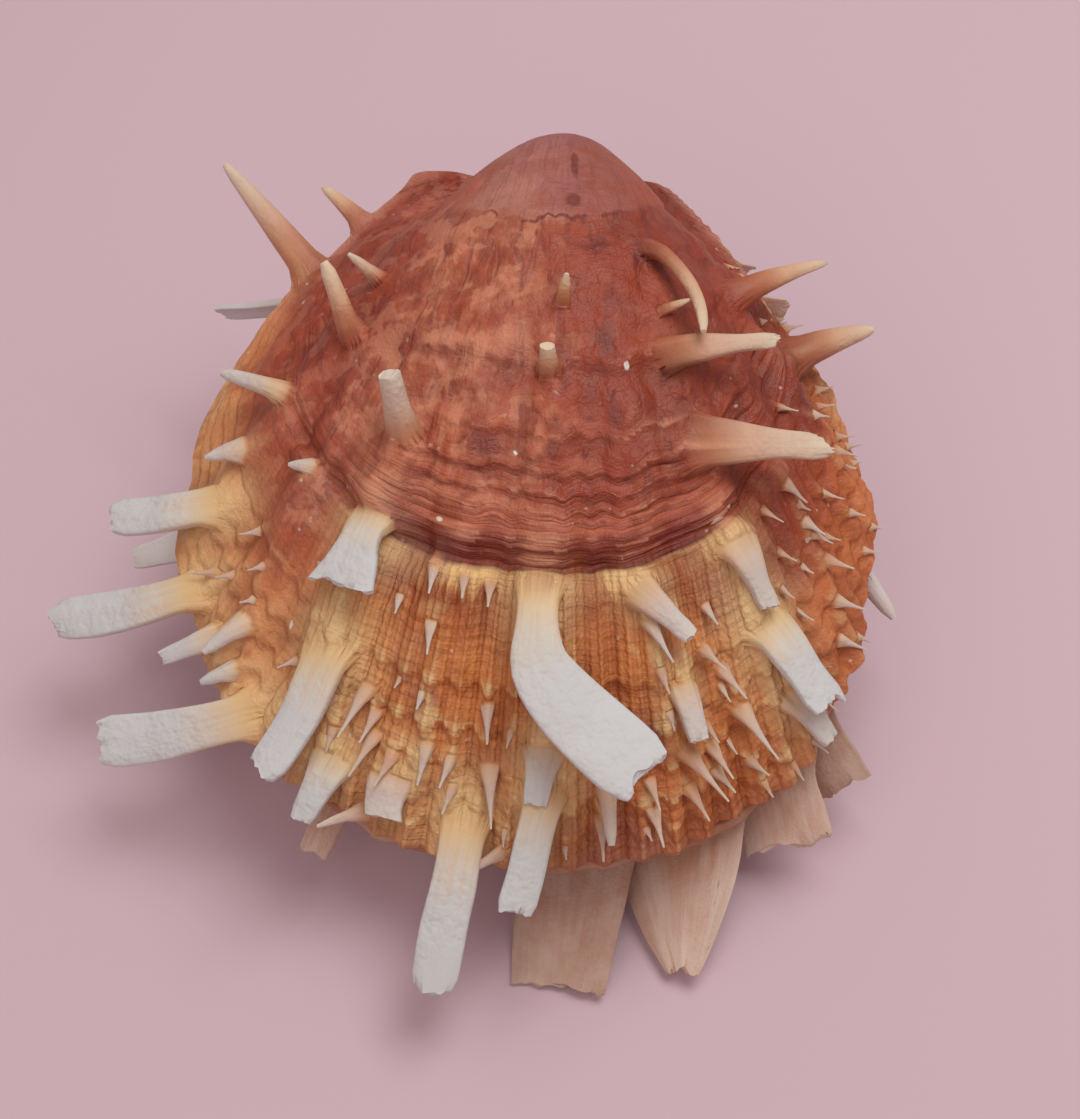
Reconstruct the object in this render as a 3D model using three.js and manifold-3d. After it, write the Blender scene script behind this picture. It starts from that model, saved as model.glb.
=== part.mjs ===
// A closed spiny oyster shell lying on its lower valve, with the hinge at the back.
// Millimetres. +X is the right-hand side, -Y the open front margin, +Z up.
// The origin is the middle of the flat scar that the shell rests on.
import * as THREE from "three";
import { mergeVertices } from "three/addons/utils/BufferGeometryUtils.js";
import Module from "manifold-3d";

const wasm = await Module();
wasm.setup();

// Driving sizes of the whole shell
const SCAR_X = 4;
const SCAR_Y = 17;
const JOINT_HEIGHT = 25;
const JOINT_TILT = THREE.MathUtils.degToRad(12);
const HALF_GAP = 0.2;
const EDGE_THICKNESS = 2.2;
const CAVITY_SCALE = 0.88;
const CAVITY_X = 2;
const CAVITY_Y = 6;

// Edge of the two valves where they meet, from the left ear round the front to the right ear
const OUTLINE = [
  [-15, 58.8], [-20, 51.8], [-30, 41.5], [-40, 31], [-46, 19], [-48.8, 5],
  [-47.5, -9], [-43, -20], [-34, -32], [-21, -41], [-5, -45.5], [12, -45.5],
  [25, -41], [36.5, -32], [43.5, -19], [47.8, -4], [47.2, 10], [42, 25],
  [33, 40], [25, 51], [19, 56.5], [2, 58],
];

// Each valve grows from a beak point and coils over it
const UPPER = { beakX: 5, beakY: 57.5, coil: 0.8, side: 1, columns: 60, rows: 22 };
const LOWER = { beakX: 4, beakY: 64, coil: 0.78, side: -1, columns: 44, rows: 14 };
const YOUNGEST = 0.06;

// Ribs and the big growth ledge of the upper valve
const RIB_PITCH = 10;
const RIB_OFFSET = -2;
const RIB_HEIGHT = 0.8;
const LEDGE_AGE = 0.69;
const LEDGE_DROP = 2;
const EAR_RISE = 1.5;

// Swelling of the shoulders on both sides of the beak
const LEFT_SHOULDER = 4.5;
const RIGHT_SHOULDER = 2;

// Sideways swing from which a spine has an elbow, the share of its length there, and its softness
const ELBOW_SWING = 10;
const ELBOW = 0.46;
const ELBOW_SOFT = 0.1;

// Width from which a leaf keeps its breadth and narrows late
const BROAD_LEAF = 7;

// How deep a spine is rooted in the wall
const ROOT_DEPTH = 2.5;

// Spines of the upper valve. Age is the share of the growth at the root, bearing the degrees
// from the beak's front line, lift the degrees off the surface, lean the degrees to the right.
// Curl and swing bend the tip away from the surface and to the right, in millimetres.
const UPPER_SPINES = [
  // left shoulder
  {
    age: 0.94, bearing: -63.5, lift: 59, lean: -79, length: 26,
    root: 5, tip: 1.6, curl: -1.8, swing: 3.2,
  },
  { age: 0.97, bearing: -71, lift: 50, lean: -62, length: 11.5, root: 3.2, tip: 1.2, curl: -1.3 },
  { age: 0.555, bearing: -36.6, lift: 54, lean: -163, length: 10.5, root: 3.6, tip: 2, swing: -1.4 },
  { age: 0.48, bearing: -40, lift: 50, lean: -100, length: 6, root: 2, tip: 1 },
  { age: 0.71, bearing: -42, lift: 40, lean: -72, length: 11, root: 3, tip: 1.6 },
  { age: 0.81, bearing: -42, lift: 40, lean: -30, length: 6, root: 3.4, tip: 1.2 },
  { age: 0.89, bearing: -41, lift: 27, lean: -37, length: 14.5, root: 5, tip: 5.8, swing: -2.3 },
  { age: 0.97, bearing: -38, lift: 19, lean: -33, length: 20, root: 5, tip: 6.6, swing: -3.9 },
  // left front
  { age: 0.96, bearing: -33, lift: 20, lean: -38, length: 8.5, root: 3.4, tip: 2.4 },
  { age: 0.91, bearing: -31, lift: 28, lean: -20, length: 7, root: 3, tip: 1.4 },
  { age: 0.98, bearing: -27, lift: 21, lean: -46, length: 19, root: 6, tip: 6.8, swing: -3.5 },
  { age: 0.6, bearing: -21, lift: 50, lean: -170, length: 8.6, root: 4, tip: 3.2 },
  { age: 0.7, bearing: -22, lift: 20, lean: 4, length: 10.2, root: 5, tip: 9.6 },
  { age: 0.85, bearing: -22, lift: 20, lean: 14, length: 18.2, root: 6.4, tip: 5.8, swing: -5.2 },
  { age: 0.95, bearing: -19, lift: 20, lean: -6, length: 9, root: 5, tip: 3.6 },
  { age: 0.94, bearing: -14, lift: 25, lean: 6, length: 5, root: 5, tip: 5 },
  // front middle
  { age: 0.96, bearing: -8, lift: 20, lean: -2, length: 22, root: 5.6, tip: 6.4 },
  { age: 0.505, bearing: -3, lift: 62, lean: 180, length: 4.2, root: 2.6, tip: 1.9 },
  {
    age: 0.718, bearing: -2.9, lift: 24, lean: -3, length: 24.6,
    root: 5, tip: 9.8, curl: -1.2, swing: 14.8,
  },
  { age: 0.88, bearing: -2, lift: 22, lean: -8, length: 7, root: 4, tip: 3.4 },
  { age: 0.92, bearing: -2, lift: 22, lean: -12, length: 16, root: 4.8, tip: 5 },
  { age: 0.92, bearing: 3, lift: 20, lean: 1, length: 7.5, root: 2.4, tip: 1.4 },
  { age: 0.73, bearing: 7, lift: 22, lean: 40, length: 9, root: 3.8, tip: 2.8 },
  { age: 0.84, bearing: 10, lift: 25, lean: 3, length: 7, root: 3.4, tip: 3 },
  // right side
  {
    age: 0.38, bearing: 16.8, lift: 23, lean: 27, length: 19.7,
    root: 2.6, tip: 1.4, curl: -3.9, swing: -6.5,
  },
  {
    age: 0.505, bearing: 15.1, lift: 32, lean: 87, length: 15.2,
    root: 4.2, tip: 2.3, curl: -3.6, swing: 1.5,
  },
  {
    age: 0.54, bearing: 37.8, lift: 58, lean: 82, length: 16,
    root: 4, tip: 1.3, curl: -3.2, swing: 4.1,
  },
  { age: 0.61, bearing: 16.2, lift: 28, lean: 74, length: 16.6, root: 6.6, tip: 3.6, curl: -0.6 },
  {
    age: 0.765, bearing: 43.5, lift: 58, lean: 63, length: 15.4,
    root: 5.2, tip: 1.6, curl: -2.2, swing: -2,
  },
  { age: 0.73, bearing: 18, lift: 14, lean: 8, length: 9.4, root: 4.6, tip: 3 },
  { age: 0.83, bearing: 19, lift: 25, lean: 13, length: 12.5, root: 6, tip: 5.4 },
  { age: 0.92, bearing: 20, lift: 22, lean: 15, length: 8, root: 4.6, tip: 3.2 },
];

// Leafy lamellae of the lower valve, the front ones first
const LOWER_LEAVES = [
  { age: 0.93, bearing: 1.6, lift: 45, lean: -15, length: 21.5, root: 15.5, tip: 12.8 },
  { age: 0.93, bearing: 9.8, lift: 38, lean: -22, length: 22.8, root: 19, tip: 4.6 },
  { age: 0.95, bearing: 17, lift: 44, lean: -20, length: 11.5, root: 12, tip: 13 },
  { age: 0.95, bearing: 21.5, lift: 46, lean: -16, length: 11.5, root: 8, tip: 8 },
  { age: 0.95, bearing: -17, lift: 42, lean: 0, length: 10, root: 5, tip: 4 },
  { age: 0.97, bearing: -40, lift: 55, lean: -24, length: 10, root: 4.4, tip: 3.4 },
  { age: 0.95, bearing: -56, lift: 60, lean: 48, length: 22, root: 5.4, tip: 4.6 },
  { age: 0.95, bearing: 56, lift: 66, lean: -59, length: 10, root: 6, tip: 5 },
  { age: 0.97, bearing: 33, lift: 41, lean: -27, length: 8.5, root: 3.4, tip: 1.6 },
];

/** Point on the shared edge of the valves at a share of the way round it. */
const edgeCurve = new THREE.CatmullRomCurve3(
  OUTLINE.map(([x, y]) => new THREE.Vector3(x, y, 0)),
  true,
  "catmullrom",
  0.5,
);

function bearingOf(valve, edge) {
  return THREE.MathUtils.radToDeg(Math.atan2(edge.x - valve.beakX, valve.beakY - edge.y));
}

/** Share of the way round the edge whose bearing from the beak is nearest to the one given. */
function shareAtBearing(valve, bearing) {
  let low = 0.04;
  let high = 0.9;
  for (let step = 0; step < 40; step += 1) {
    const middle = (low + high) / 2;
    if (bearingOf(valve, edgeCurve.getPoint(middle)) < bearing) low = middle;
    else high = middle;
  }
  return (low + high) / 2;
}

/** Smooth growth surface: the edge shrinks towards the beak and turns over it with age. */
function growthPoint(valve, age, share) {
  const edge = edgeCurve.getPoint(share);
  const turn = valve.coil * Math.log(1 / age);
  const reach = (valve.beakY - edge.y) * age;
  const x = valve.beakX + (edge.x - valve.beakX) * age;
  const rise = reach * Math.sin(turn) + HALF_GAP + EDGE_THICKNESS;
  return new THREE.Vector3(x, valve.beakY - reach * Math.cos(turn), valve.side * rise);
}

/** Surface directions at a place: towards the margin, to the right and outwards. */
function surfaceFrame(valve, age, share) {
  const small = 0.002;
  const out = growthPoint(valve, age + small, share);
  out.sub(growthPoint(valve, age - small, share)).normalize();
  const across = growthPoint(valve, age, share + small);
  across.sub(growthPoint(valve, age, share - small));
  across.addScaledVector(out, -across.dot(out)).normalize();
  const normal = new THREE.Vector3().crossVectors(across, out).multiplyScalar(-valve.side);
  if (normal.z * valve.side < 0 && age > 0.5) normal.negate();
  return { out, across, normal };
}

/** Height of the ribs, the growth ledge and the shoulders above the smooth upper surface. */
function upperRelief(age, bearing) {
  const grown = THREE.MathUtils.smoothstep(age, 0.3, 0.85);
  const inside = 1 - THREE.MathUtils.smoothstep(Math.abs(bearing), 40, 60);
  const ribs = RIB_HEIGHT * Math.cos((2 * Math.PI * (bearing - RIB_OFFSET)) / RIB_PITCH);
  const middle = 1 - THREE.MathUtils.smoothstep(Math.abs(bearing + 4), 20, 40);
  const past = Math.max(0, age - LEDGE_AGE);
  const cut = THREE.MathUtils.smoothstep(age, LEDGE_AGE - 0.01, LEDGE_AGE + 0.02);
  const ledge = LEDGE_DROP * middle * cut * Math.exp(-past / 0.08);
  return ribs * grown * inside - ledge + shoulderRelief(age, bearing);
}

/** Height of the swollen shoulders and the raised left ear. */
function shoulderRelief(age, bearing) {
  const rounded = 1 - 0.75 * THREE.MathUtils.smoothstep(age, 0.94, 1);
  const hinge = 1 - 0.8 * THREE.MathUtils.smoothstep(Math.abs(bearing), 84, 96);
  const grown = THREE.MathUtils.smoothstep(age, 0.3, 0.7);
  const left = LEFT_SHOULDER * THREE.MathUtils.smoothstep(-bearing, 46, 78);
  const right = RIGHT_SHOULDER * THREE.MathUtils.smoothstep(bearing, 46, 78);
  const ear = THREE.MathUtils.smoothstep(-bearing, 70, 88) * THREE.MathUtils.smoothstep(age, 0.6, 0.9);
  return rounded * hinge * (grown * (left + right) + EAR_RISE * ear);
}

/** Height of the coarse concentric folds of the lower valve. */
function lowerRelief(age, bearing) {
  const folds = Math.sin(age * 40) * 0.6 + 0.5 * Math.cos(bearing * 0.5);
  return folds * THREE.MathUtils.smoothstep(age, 0.5, 0.8);
}

/** Closed horn of one valve, from a tube whose rings become the growth stages. */
function hornGeometry(valve, columns, rows, relief, bottom) {
  const tube = new THREE.CylinderGeometry(1, 1, 1, columns, rows);
  const place = tube.attributes.position;
  const ring = new THREE.Vector3();
  for (let i = 0; i < place.count; i += 1) {
    ring.fromBufferAttribute(place, i);
    const row = Math.round((0.5 - ring.y) * rows);
    const age = YOUNGEST + (1 - YOUNGEST) * Math.min(1, row / (rows - 1));
    const share = ((valve.side * Math.atan2(ring.x, ring.z)) / (2 * Math.PI) + 1.5) % 1;
    const middle = Math.hypot(ring.x, ring.z) < 0.5;
    const point = middle ? ringMiddle(valve, age) : growthPoint(valve, age, share);
    if (!middle && row > 0) {
      const height = relief(age, bearingOf(valve, edgeCurve.getPoint(share)));
      point.addScaledVector(surfaceFrame(valve, age, share).normal, height);
    }
    if (row === rows) point.z = valve.side * bottom;
    place.setXYZ(i, point.x, point.y, point.z);
  }
  return tube;
}

function ringMiddle(valve, age) {
  const middle = growthPoint(valve, age, 0.47);
  return middle.lerp(growthPoint(valve, age, 0.97), 0.5);
}

/** Bend of a spine and its slope: an even curve, or an elbow if its tip swings far. */
function bendOf(swing, along) {
  if (Math.abs(swing) < ELBOW_SWING) return { bend: along * along, slope: 2 * along };
  const past = along - ELBOW;
  const reach = Math.hypot(past, ELBOW_SOFT);
  const start = Math.hypot(ELBOW, ELBOW_SOFT);
  const full = 1 + Math.hypot(1 - ELBOW, ELBOW_SOFT) - start;
  return { bend: (along + reach - start) / full, slope: (1 + past / reach) / full };
}

/** One spine or leaf: a tapered rod flattened against the surface and bent along its length. */
function spineGeometry(valve, spine, foot) {
  const share = shareAtBearing(valve, spine.bearing);
  const { out, across, normal } = surfaceFrame(valve, spine.age, share);
  const root = growthPoint(valve, spine.age, share);
  const lean = THREE.MathUtils.degToRad(spine.lean);
  const lift = THREE.MathUtils.degToRad(spine.lift);
  const heading = out.clone().multiplyScalar(Math.cos(lean));
  heading.addScaledVector(across, Math.sin(lean)).multiplyScalar(Math.cos(lift));
  heading.addScaledVector(normal, Math.sin(lift));
  const wide = new THREE.Vector3().crossVectors(heading, normal).normalize();
  const thick = new THREE.Vector3().crossVectors(wide, heading).normalize();
  const big = spine.length > 8;
  const rod = new THREE.CylinderGeometry(1, 1, 1, big ? 6 : 4, big ? 3 : 1);
  const place = rod.attributes.position;
  const local = new THREE.Vector3();
  for (let i = 0; i < place.count; i += 1) {
    local.fromBufferAttribute(place, i);
    const along = local.y + 0.5;
    const narrowed = spine.root > BROAD_LEAF ? along * along : along;
    const width = THREE.MathUtils.lerp(spine.root, spine.tip, narrowed) / 2;
    const depth = Math.min(0.8 * width, 1.6) * (1 - 0.45 * along);
    const reach = along * (spine.length + ROOT_DEPTH) - ROOT_DEPTH;
    const { bend, slope } = bendOf(spine.swing ?? 0, Math.max(0, along));
    const point = root.clone().addScaledVector(heading, reach);
    point.addScaledVector(across, (spine.swing ?? 0) * bend);
    point.addScaledVector(normal, (spine.curl ?? 0) * bend + foot * (1 - 0.7 * along));
    const track = heading.clone().multiplyScalar(spine.length);
    track.addScaledVector(across, (spine.swing ?? 0) * slope);
    wide.crossVectors(track, thick).normalize();
    point.addScaledVector(wide, local.x * width);
    point.addScaledVector(thick, local.z * depth);
    place.setXYZ(i, point.x, point.y, point.z);
  }
  return rod;
}

/** Smaller prickles in rows between the big spines of the new growth. */
function prickles() {
  const list = [];
  for (let rib = -4; rib <= 4; rib += 1) {
    for (let step = 0; step < 3; step += 1) {
      const turn = ((rib + 4) * 3 + step) * 0.618;
      const jitter = turn - Math.floor(turn) - 0.5;
      const age = 0.78 + 0.06 * step + 0.03 * jitter;
      const bearing = RIB_OFFSET + RIB_PITCH * (rib * 0.6 + 0.5) + 3 * jitter;
      const length = 4.4 + 2.4 * jitter;
      list.push({ age, bearing, lift: 26, lean: 10 * jitter + bearing / 3, length, root: 1.8, tip: 0.9 });
    }
  }
  return list;
}

/** Rows of short leaves on the flanks of the lower valve that the photograph does not show. */
function flankLeaves() {
  const list = [];
  for (let step = -4; step <= 4; step += 1) {
    list.push({ age: 0.8, bearing: step * 11 + 4, lift: 38, lean: 0, length: 8, root: 6, tip: 7 });
  }
  return list;
}

function solidOf(geometry) {
  const bare = geometry.clone();
  bare.deleteAttribute("normal");
  bare.deleteAttribute("uv");
  const welded = mergeVertices(bare, 1e-4);
  return new wasm.Manifold(new wasm.Mesh({
    numProp: 3,
    vertProperties: new Float32Array(welded.attributes.position.array),
    triVerts: new Uint32Array(welded.index.array),
  }));
}

/** Shell wall: the horn with its spines, hollowed by a smaller copy of the same horn. */
function valveSolid(valve, relief, spines) {
  let solid = solidOf(hornGeometry(valve, valve.columns, valve.rows, relief, HALF_GAP));
  for (const spine of spines) {
    const foot = relief(spine.age, spine.bearing);
    solid = solid.add(solidOf(spineGeometry(valve, spine, foot)));
  }
  const hollow = hornGeometry(valve, 24, 8, () => 0, -8);
  hollow.translate(-CAVITY_X, -CAVITY_Y, 0);
  hollow.scale(CAVITY_SCALE, CAVITY_SCALE, CAVITY_SCALE);
  hollow.translate(CAVITY_X, CAVITY_Y, valve.side * -1.2);
  return solid.subtract(solidOf(hollow));
}

/** Tilts the joint plane, lifts the shell and puts the scar's middle at the origin. */
function settle(geometry) {
  geometry.rotateX(JOINT_TILT);
  geometry.translate(-SCAR_X, -SCAR_Y, JOINT_HEIGHT);
  return geometry;
}

function geometryOf(solid) {
  const mesh = solid.getMesh();
  const geometry = new THREE.BufferGeometry();
  geometry.setAttribute("position", new THREE.BufferAttribute(mesh.vertProperties, 3));
  geometry.setIndex(new THREE.BufferAttribute(mesh.triVerts, 1));
  return geometry;
}

/** Flat scar: everything below the floor plane is ground away. */
function trimmedAtFloor(geometry) {
  const below = new THREE.BoxGeometry(400, 400, 60);
  below.translate(0, 0, -30);
  return geometryOf(solidOf(geometry).subtract(solidOf(below)));
}

function upperValve() {
  const shell = geometryOf(valveSolid(UPPER, upperRelief, [...UPPER_SPINES, ...prickles()]));
  const colour = new THREE.Color(0.5, 0.24, 0.18);
  const material = new THREE.MeshStandardMaterial({ color: colour, roughness: 0.6, metalness: 0 });
  const mesh = new THREE.Mesh(settle(shell), material);
  mesh.name = "upper_valve";
  return mesh;
}

function lowerValve() {
  const above = new THREE.BoxGeometry(400, 400, 60);
  above.translate(0, 0, 30 - HALF_GAP);
  const whole = valveSolid(LOWER, lowerRelief, [...LOWER_LEAVES, ...flankLeaves()]);
  const shell = geometryOf(whole.subtract(solidOf(above)));
  const colour = new THREE.Color(0.72, 0.55, 0.46);
  const material = new THREE.MeshStandardMaterial({ color: colour, roughness: 0.65, metalness: 0 });
  const mesh = new THREE.Mesh(trimmedAtFloor(settle(shell)), material);
  mesh.name = "lower_valve";
  return mesh;
}

const shell = new THREE.Group();
shell.name = "spiny_oyster_shell";
shell.add(upperValve(), lowerValve());
export default shell;
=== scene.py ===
"""Looks of a closed spiny oyster shell: two valves with their spines and leaves, in a plain studio."""

import logging
import math
from dataclasses import dataclass, field
from enum import Enum
from typing import Callable, Optional, Sequence

import bmesh
import bpy
import numpy as np
from mathutils import Matrix, Vector


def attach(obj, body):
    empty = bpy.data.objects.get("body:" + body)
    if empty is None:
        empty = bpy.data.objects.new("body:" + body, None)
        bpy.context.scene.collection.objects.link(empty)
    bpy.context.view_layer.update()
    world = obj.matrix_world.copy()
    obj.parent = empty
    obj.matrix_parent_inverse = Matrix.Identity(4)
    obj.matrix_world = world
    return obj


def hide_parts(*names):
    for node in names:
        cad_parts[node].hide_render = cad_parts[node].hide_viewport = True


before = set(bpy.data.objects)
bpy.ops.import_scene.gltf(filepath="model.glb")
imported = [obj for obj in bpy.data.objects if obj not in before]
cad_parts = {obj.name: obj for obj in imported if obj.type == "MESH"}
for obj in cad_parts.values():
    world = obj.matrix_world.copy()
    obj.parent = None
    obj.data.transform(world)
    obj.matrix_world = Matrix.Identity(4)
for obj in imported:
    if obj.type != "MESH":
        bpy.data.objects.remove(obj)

LOG = logging.getLogger("spiny_oyster")
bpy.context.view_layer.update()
MM = 0.001

# Edge of the two valves where they meet, from the left ear round the front, in millimetres
OUTLINE = np.array([
    (-15, 58.8), (-20, 51.8), (-30, 41.5), (-40, 31), (-46, 19), (-48.8, 5),
    (-47.5, -9), (-43, -20), (-34, -32), (-21, -41), (-5, -45.5), (12, -45.5),
    (25, -41), (36.5, -32), (43.5, -19), (47.8, -4), (47.2, 10), (42, 25),
    (33, 40), (25, 51), (19, 56.5), (2, 58),
], dtype=float)
# Middle of the flat scar, and height and tilt of the plane where the valves meet
SCAR_X = 4.0
SCAR_Y = 17.0
JOINT_HEIGHT = 25.0
JOINT_TILT = math.radians(12)
# Half the gap between the valves, thickness of their edge, and size and middle of the hollow
HALF_GAP = 0.2
EDGE_THICKNESS = 2.2
CAVITY_SCALE = 0.88
CAVITY_X = 2.0
CAVITY_Y = 6.0
# Degrees from rib to rib and of the middle rib
RIB_PITCH = 10.0
RIB_OFFSET = -2.0
# Ages of the great ledge's lip and foot, and of the worn line below the beak
LEDGE_LIP = 0.675
LEDGE_FOOT = 0.71
BEAK_SCAR = 0.328
# Angle between faces past which an edge stays sharp
SHARP_ANGLE = math.radians(60)
# Numbers of the sine hash behind all repeatable noise
HASH_STEPS = (12.9898, 78.233, 37.719)
HASH_SEED = 4.1414
HASH_SIZE = 4375.8545

Colour = tuple[float, float, float]
Stops = tuple[tuple[float, Colour], ...]
Socket = bpy.types.NodeSocket
Marks = bpy.types.bpy_prop_collection


class Form(Enum):
    """How a spine or leaf is shaped along its length."""

    TAPER = "taper"
    BLADE = "blade"
    FAN = "fan"
    STUB = "stub"
    THORN = "thorn"
    LEAF = "leaf"


def smoothstep(low: float, high: float, value: np.ndarray) -> np.ndarray:
    """Returns a soft step from 0 at low to 1 at high.

    Args:
        low: value at which the step starts.
        high: value at which the step ends.
        value: the numbers to step.

    Returns:
        The stepped numbers, from 0 to 1.
    """
    share = np.clip((np.asarray(value, dtype=float) - low) / (high - low), 0.0, 1.0)
    return share * share * (3.0 - 2.0 * share)


def lattice_noise(points: np.ndarray, seed: float) -> np.ndarray:
    """Smooth repeatable noise over points in space.

    Args:
        points: coordinates, one row each, in lattice cells.
        seed: number that picks the pattern.

    Returns:
        One value from -1 to 1 for each point.
    """
    points = np.asarray(points, dtype=float)
    base = np.floor(points)
    part = points - base
    part = part * part * (3.0 - 2.0 * part)
    total = np.zeros(len(points))
    for corner in range(8):
        offset = np.array([(corner >> axis) & 1 for axis in range(3)], dtype=float)
        mixed = (base + offset) @ np.array(HASH_STEPS) + seed * HASH_SEED
        value = np.sin(mixed) * HASH_SIZE
        value -= np.floor(value)
        total += value * np.prod(np.where(offset > 0, part, 1.0 - part), axis=1)
    return 2.0 * total - 1.0


def scatter(index: int, salt: float) -> float:
    """Returns a repeatable number from 0 to 1 for a counted thing."""
    value = math.sin(index * HASH_STEPS[0] + salt * HASH_STEPS[1]) * HASH_SIZE
    return value - math.floor(value)


@dataclass(frozen=True)
class Growth:
    """Growth surface of one valve: its edge shrinks towards the beak and turns over it."""

    beak_x: float
    beak_y: float
    coil: float
    side: int

    def edge(self, share: np.ndarray) -> np.ndarray:
        """Points of the shared edge, on a smooth curve through its corners.

        Args:
            share: shares of the way round the edge.

        Returns:
            One row of x, y in millimetres for each share.
        """
        count = len(OUTLINE)
        place = np.mod(np.asarray(share, dtype=float), 1.0) * count
        start = np.floor(place).astype(int)
        t = (place - start)[:, None]
        before, here, after, later = (OUTLINE[(start + k) % count] for k in (-1, 0, 1, 2))
        return 0.5 * (
            2 * here
            + (after - before) * t
            + (2 * before - 5 * here + 4 * after - later) * t**2
            + (3 * here - before - 3 * after + later) * t**3
        )

    def bearing(self, share: np.ndarray) -> np.ndarray:
        """Degrees from the beak's front line, negative to the left."""
        edge = self.edge(share)
        return np.degrees(np.arctan2(edge[:, 0] - self.beak_x, self.beak_y - edge[:, 1]))

    def share_at(self, bearing: float) -> float:
        """Finds the share of the way round the edge at a bearing, by halving.

        Args:
            bearing: degrees from the beak's front line.

        Returns:
            The share of the way round.
        """
        low, high, halvings = 0.04, 0.9, 40
        for _ in range(halvings):
            middle = (low + high) / 2
            if self.bearing(np.array([middle]))[0] < bearing:
                low = middle
            else:
                high = middle
        return (low + high) / 2

    def point(self, age: np.ndarray, share: np.ndarray) -> np.ndarray:
        """Points of the smooth surface.

        Args:
            age: share of the growth, 0 at the beak and 1 at the margin.
            share: share of the way round the edge.

        Returns:
            One row of x, y, z in millimetres for each place, in the valve's own frame.
        """
        edge = self.edge(share)
        turn = self.coil * np.log(1.0 / age)
        reach = (self.beak_y - edge[:, 1]) * age
        rise = reach * np.sin(turn) + HALF_GAP + EDGE_THICKNESS
        across = self.beak_x + (edge[:, 0] - self.beak_x) * age
        return np.stack([across, self.beak_y - reach * np.cos(turn), self.side * rise], axis=1)

    def axes(self, age: np.ndarray, share: np.ndarray) -> tuple[np.ndarray, np.ndarray, np.ndarray]:
        """Directions along the surface and out of it.

        Args:
            age: share of the growth.
            share: share of the way round the edge.

        Returns:
            Directions towards the margin, to the right and outwards, one row each.
        """
        small, least = 0.002, 1e-12
        out = self.point(age + small, share) - self.point(age - small, share)
        out /= np.linalg.norm(out, axis=1)[:, None] + least
        right = self.point(age, share + small) - self.point(age, share - small)
        right -= out * np.sum(right * out, axis=1)[:, None]
        right /= np.linalg.norm(right, axis=1)[:, None] + least
        return out, right, np.cross(right, out) * -self.side


UPPER_GROWTH = Growth(5.0, 57.5, 0.8, 1)
LOWER_GROWTH = Growth(4.0, 64.0, 0.78, -1)


@dataclass(frozen=True)
class Spine:
    """One spine or leaf. Angles are degrees and sizes millimetres.

    Age and bearing place the root, lift is off the surface, lean to the right of the growth,
    curl and swing bend the tip outwards and to the right, and white is how bleached it is.
    On the first front leaf of the lower valve, a low white browns it as painted shade.
    """

    age: float
    bearing: float
    lift: float
    lean: float
    length: float
    root: float
    tip: float
    form: Form = Form.TAPER
    white: float = 1.0
    curl: float = 0.0
    swing: float = 0.0
    chip: float = 0.04


# A spine that swings further than this has an elbow, at this share of its length and this soft
ELBOW_SWING = 10.0
ELBOW = 0.46
ELBOW_SOFT = 0.1

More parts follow.
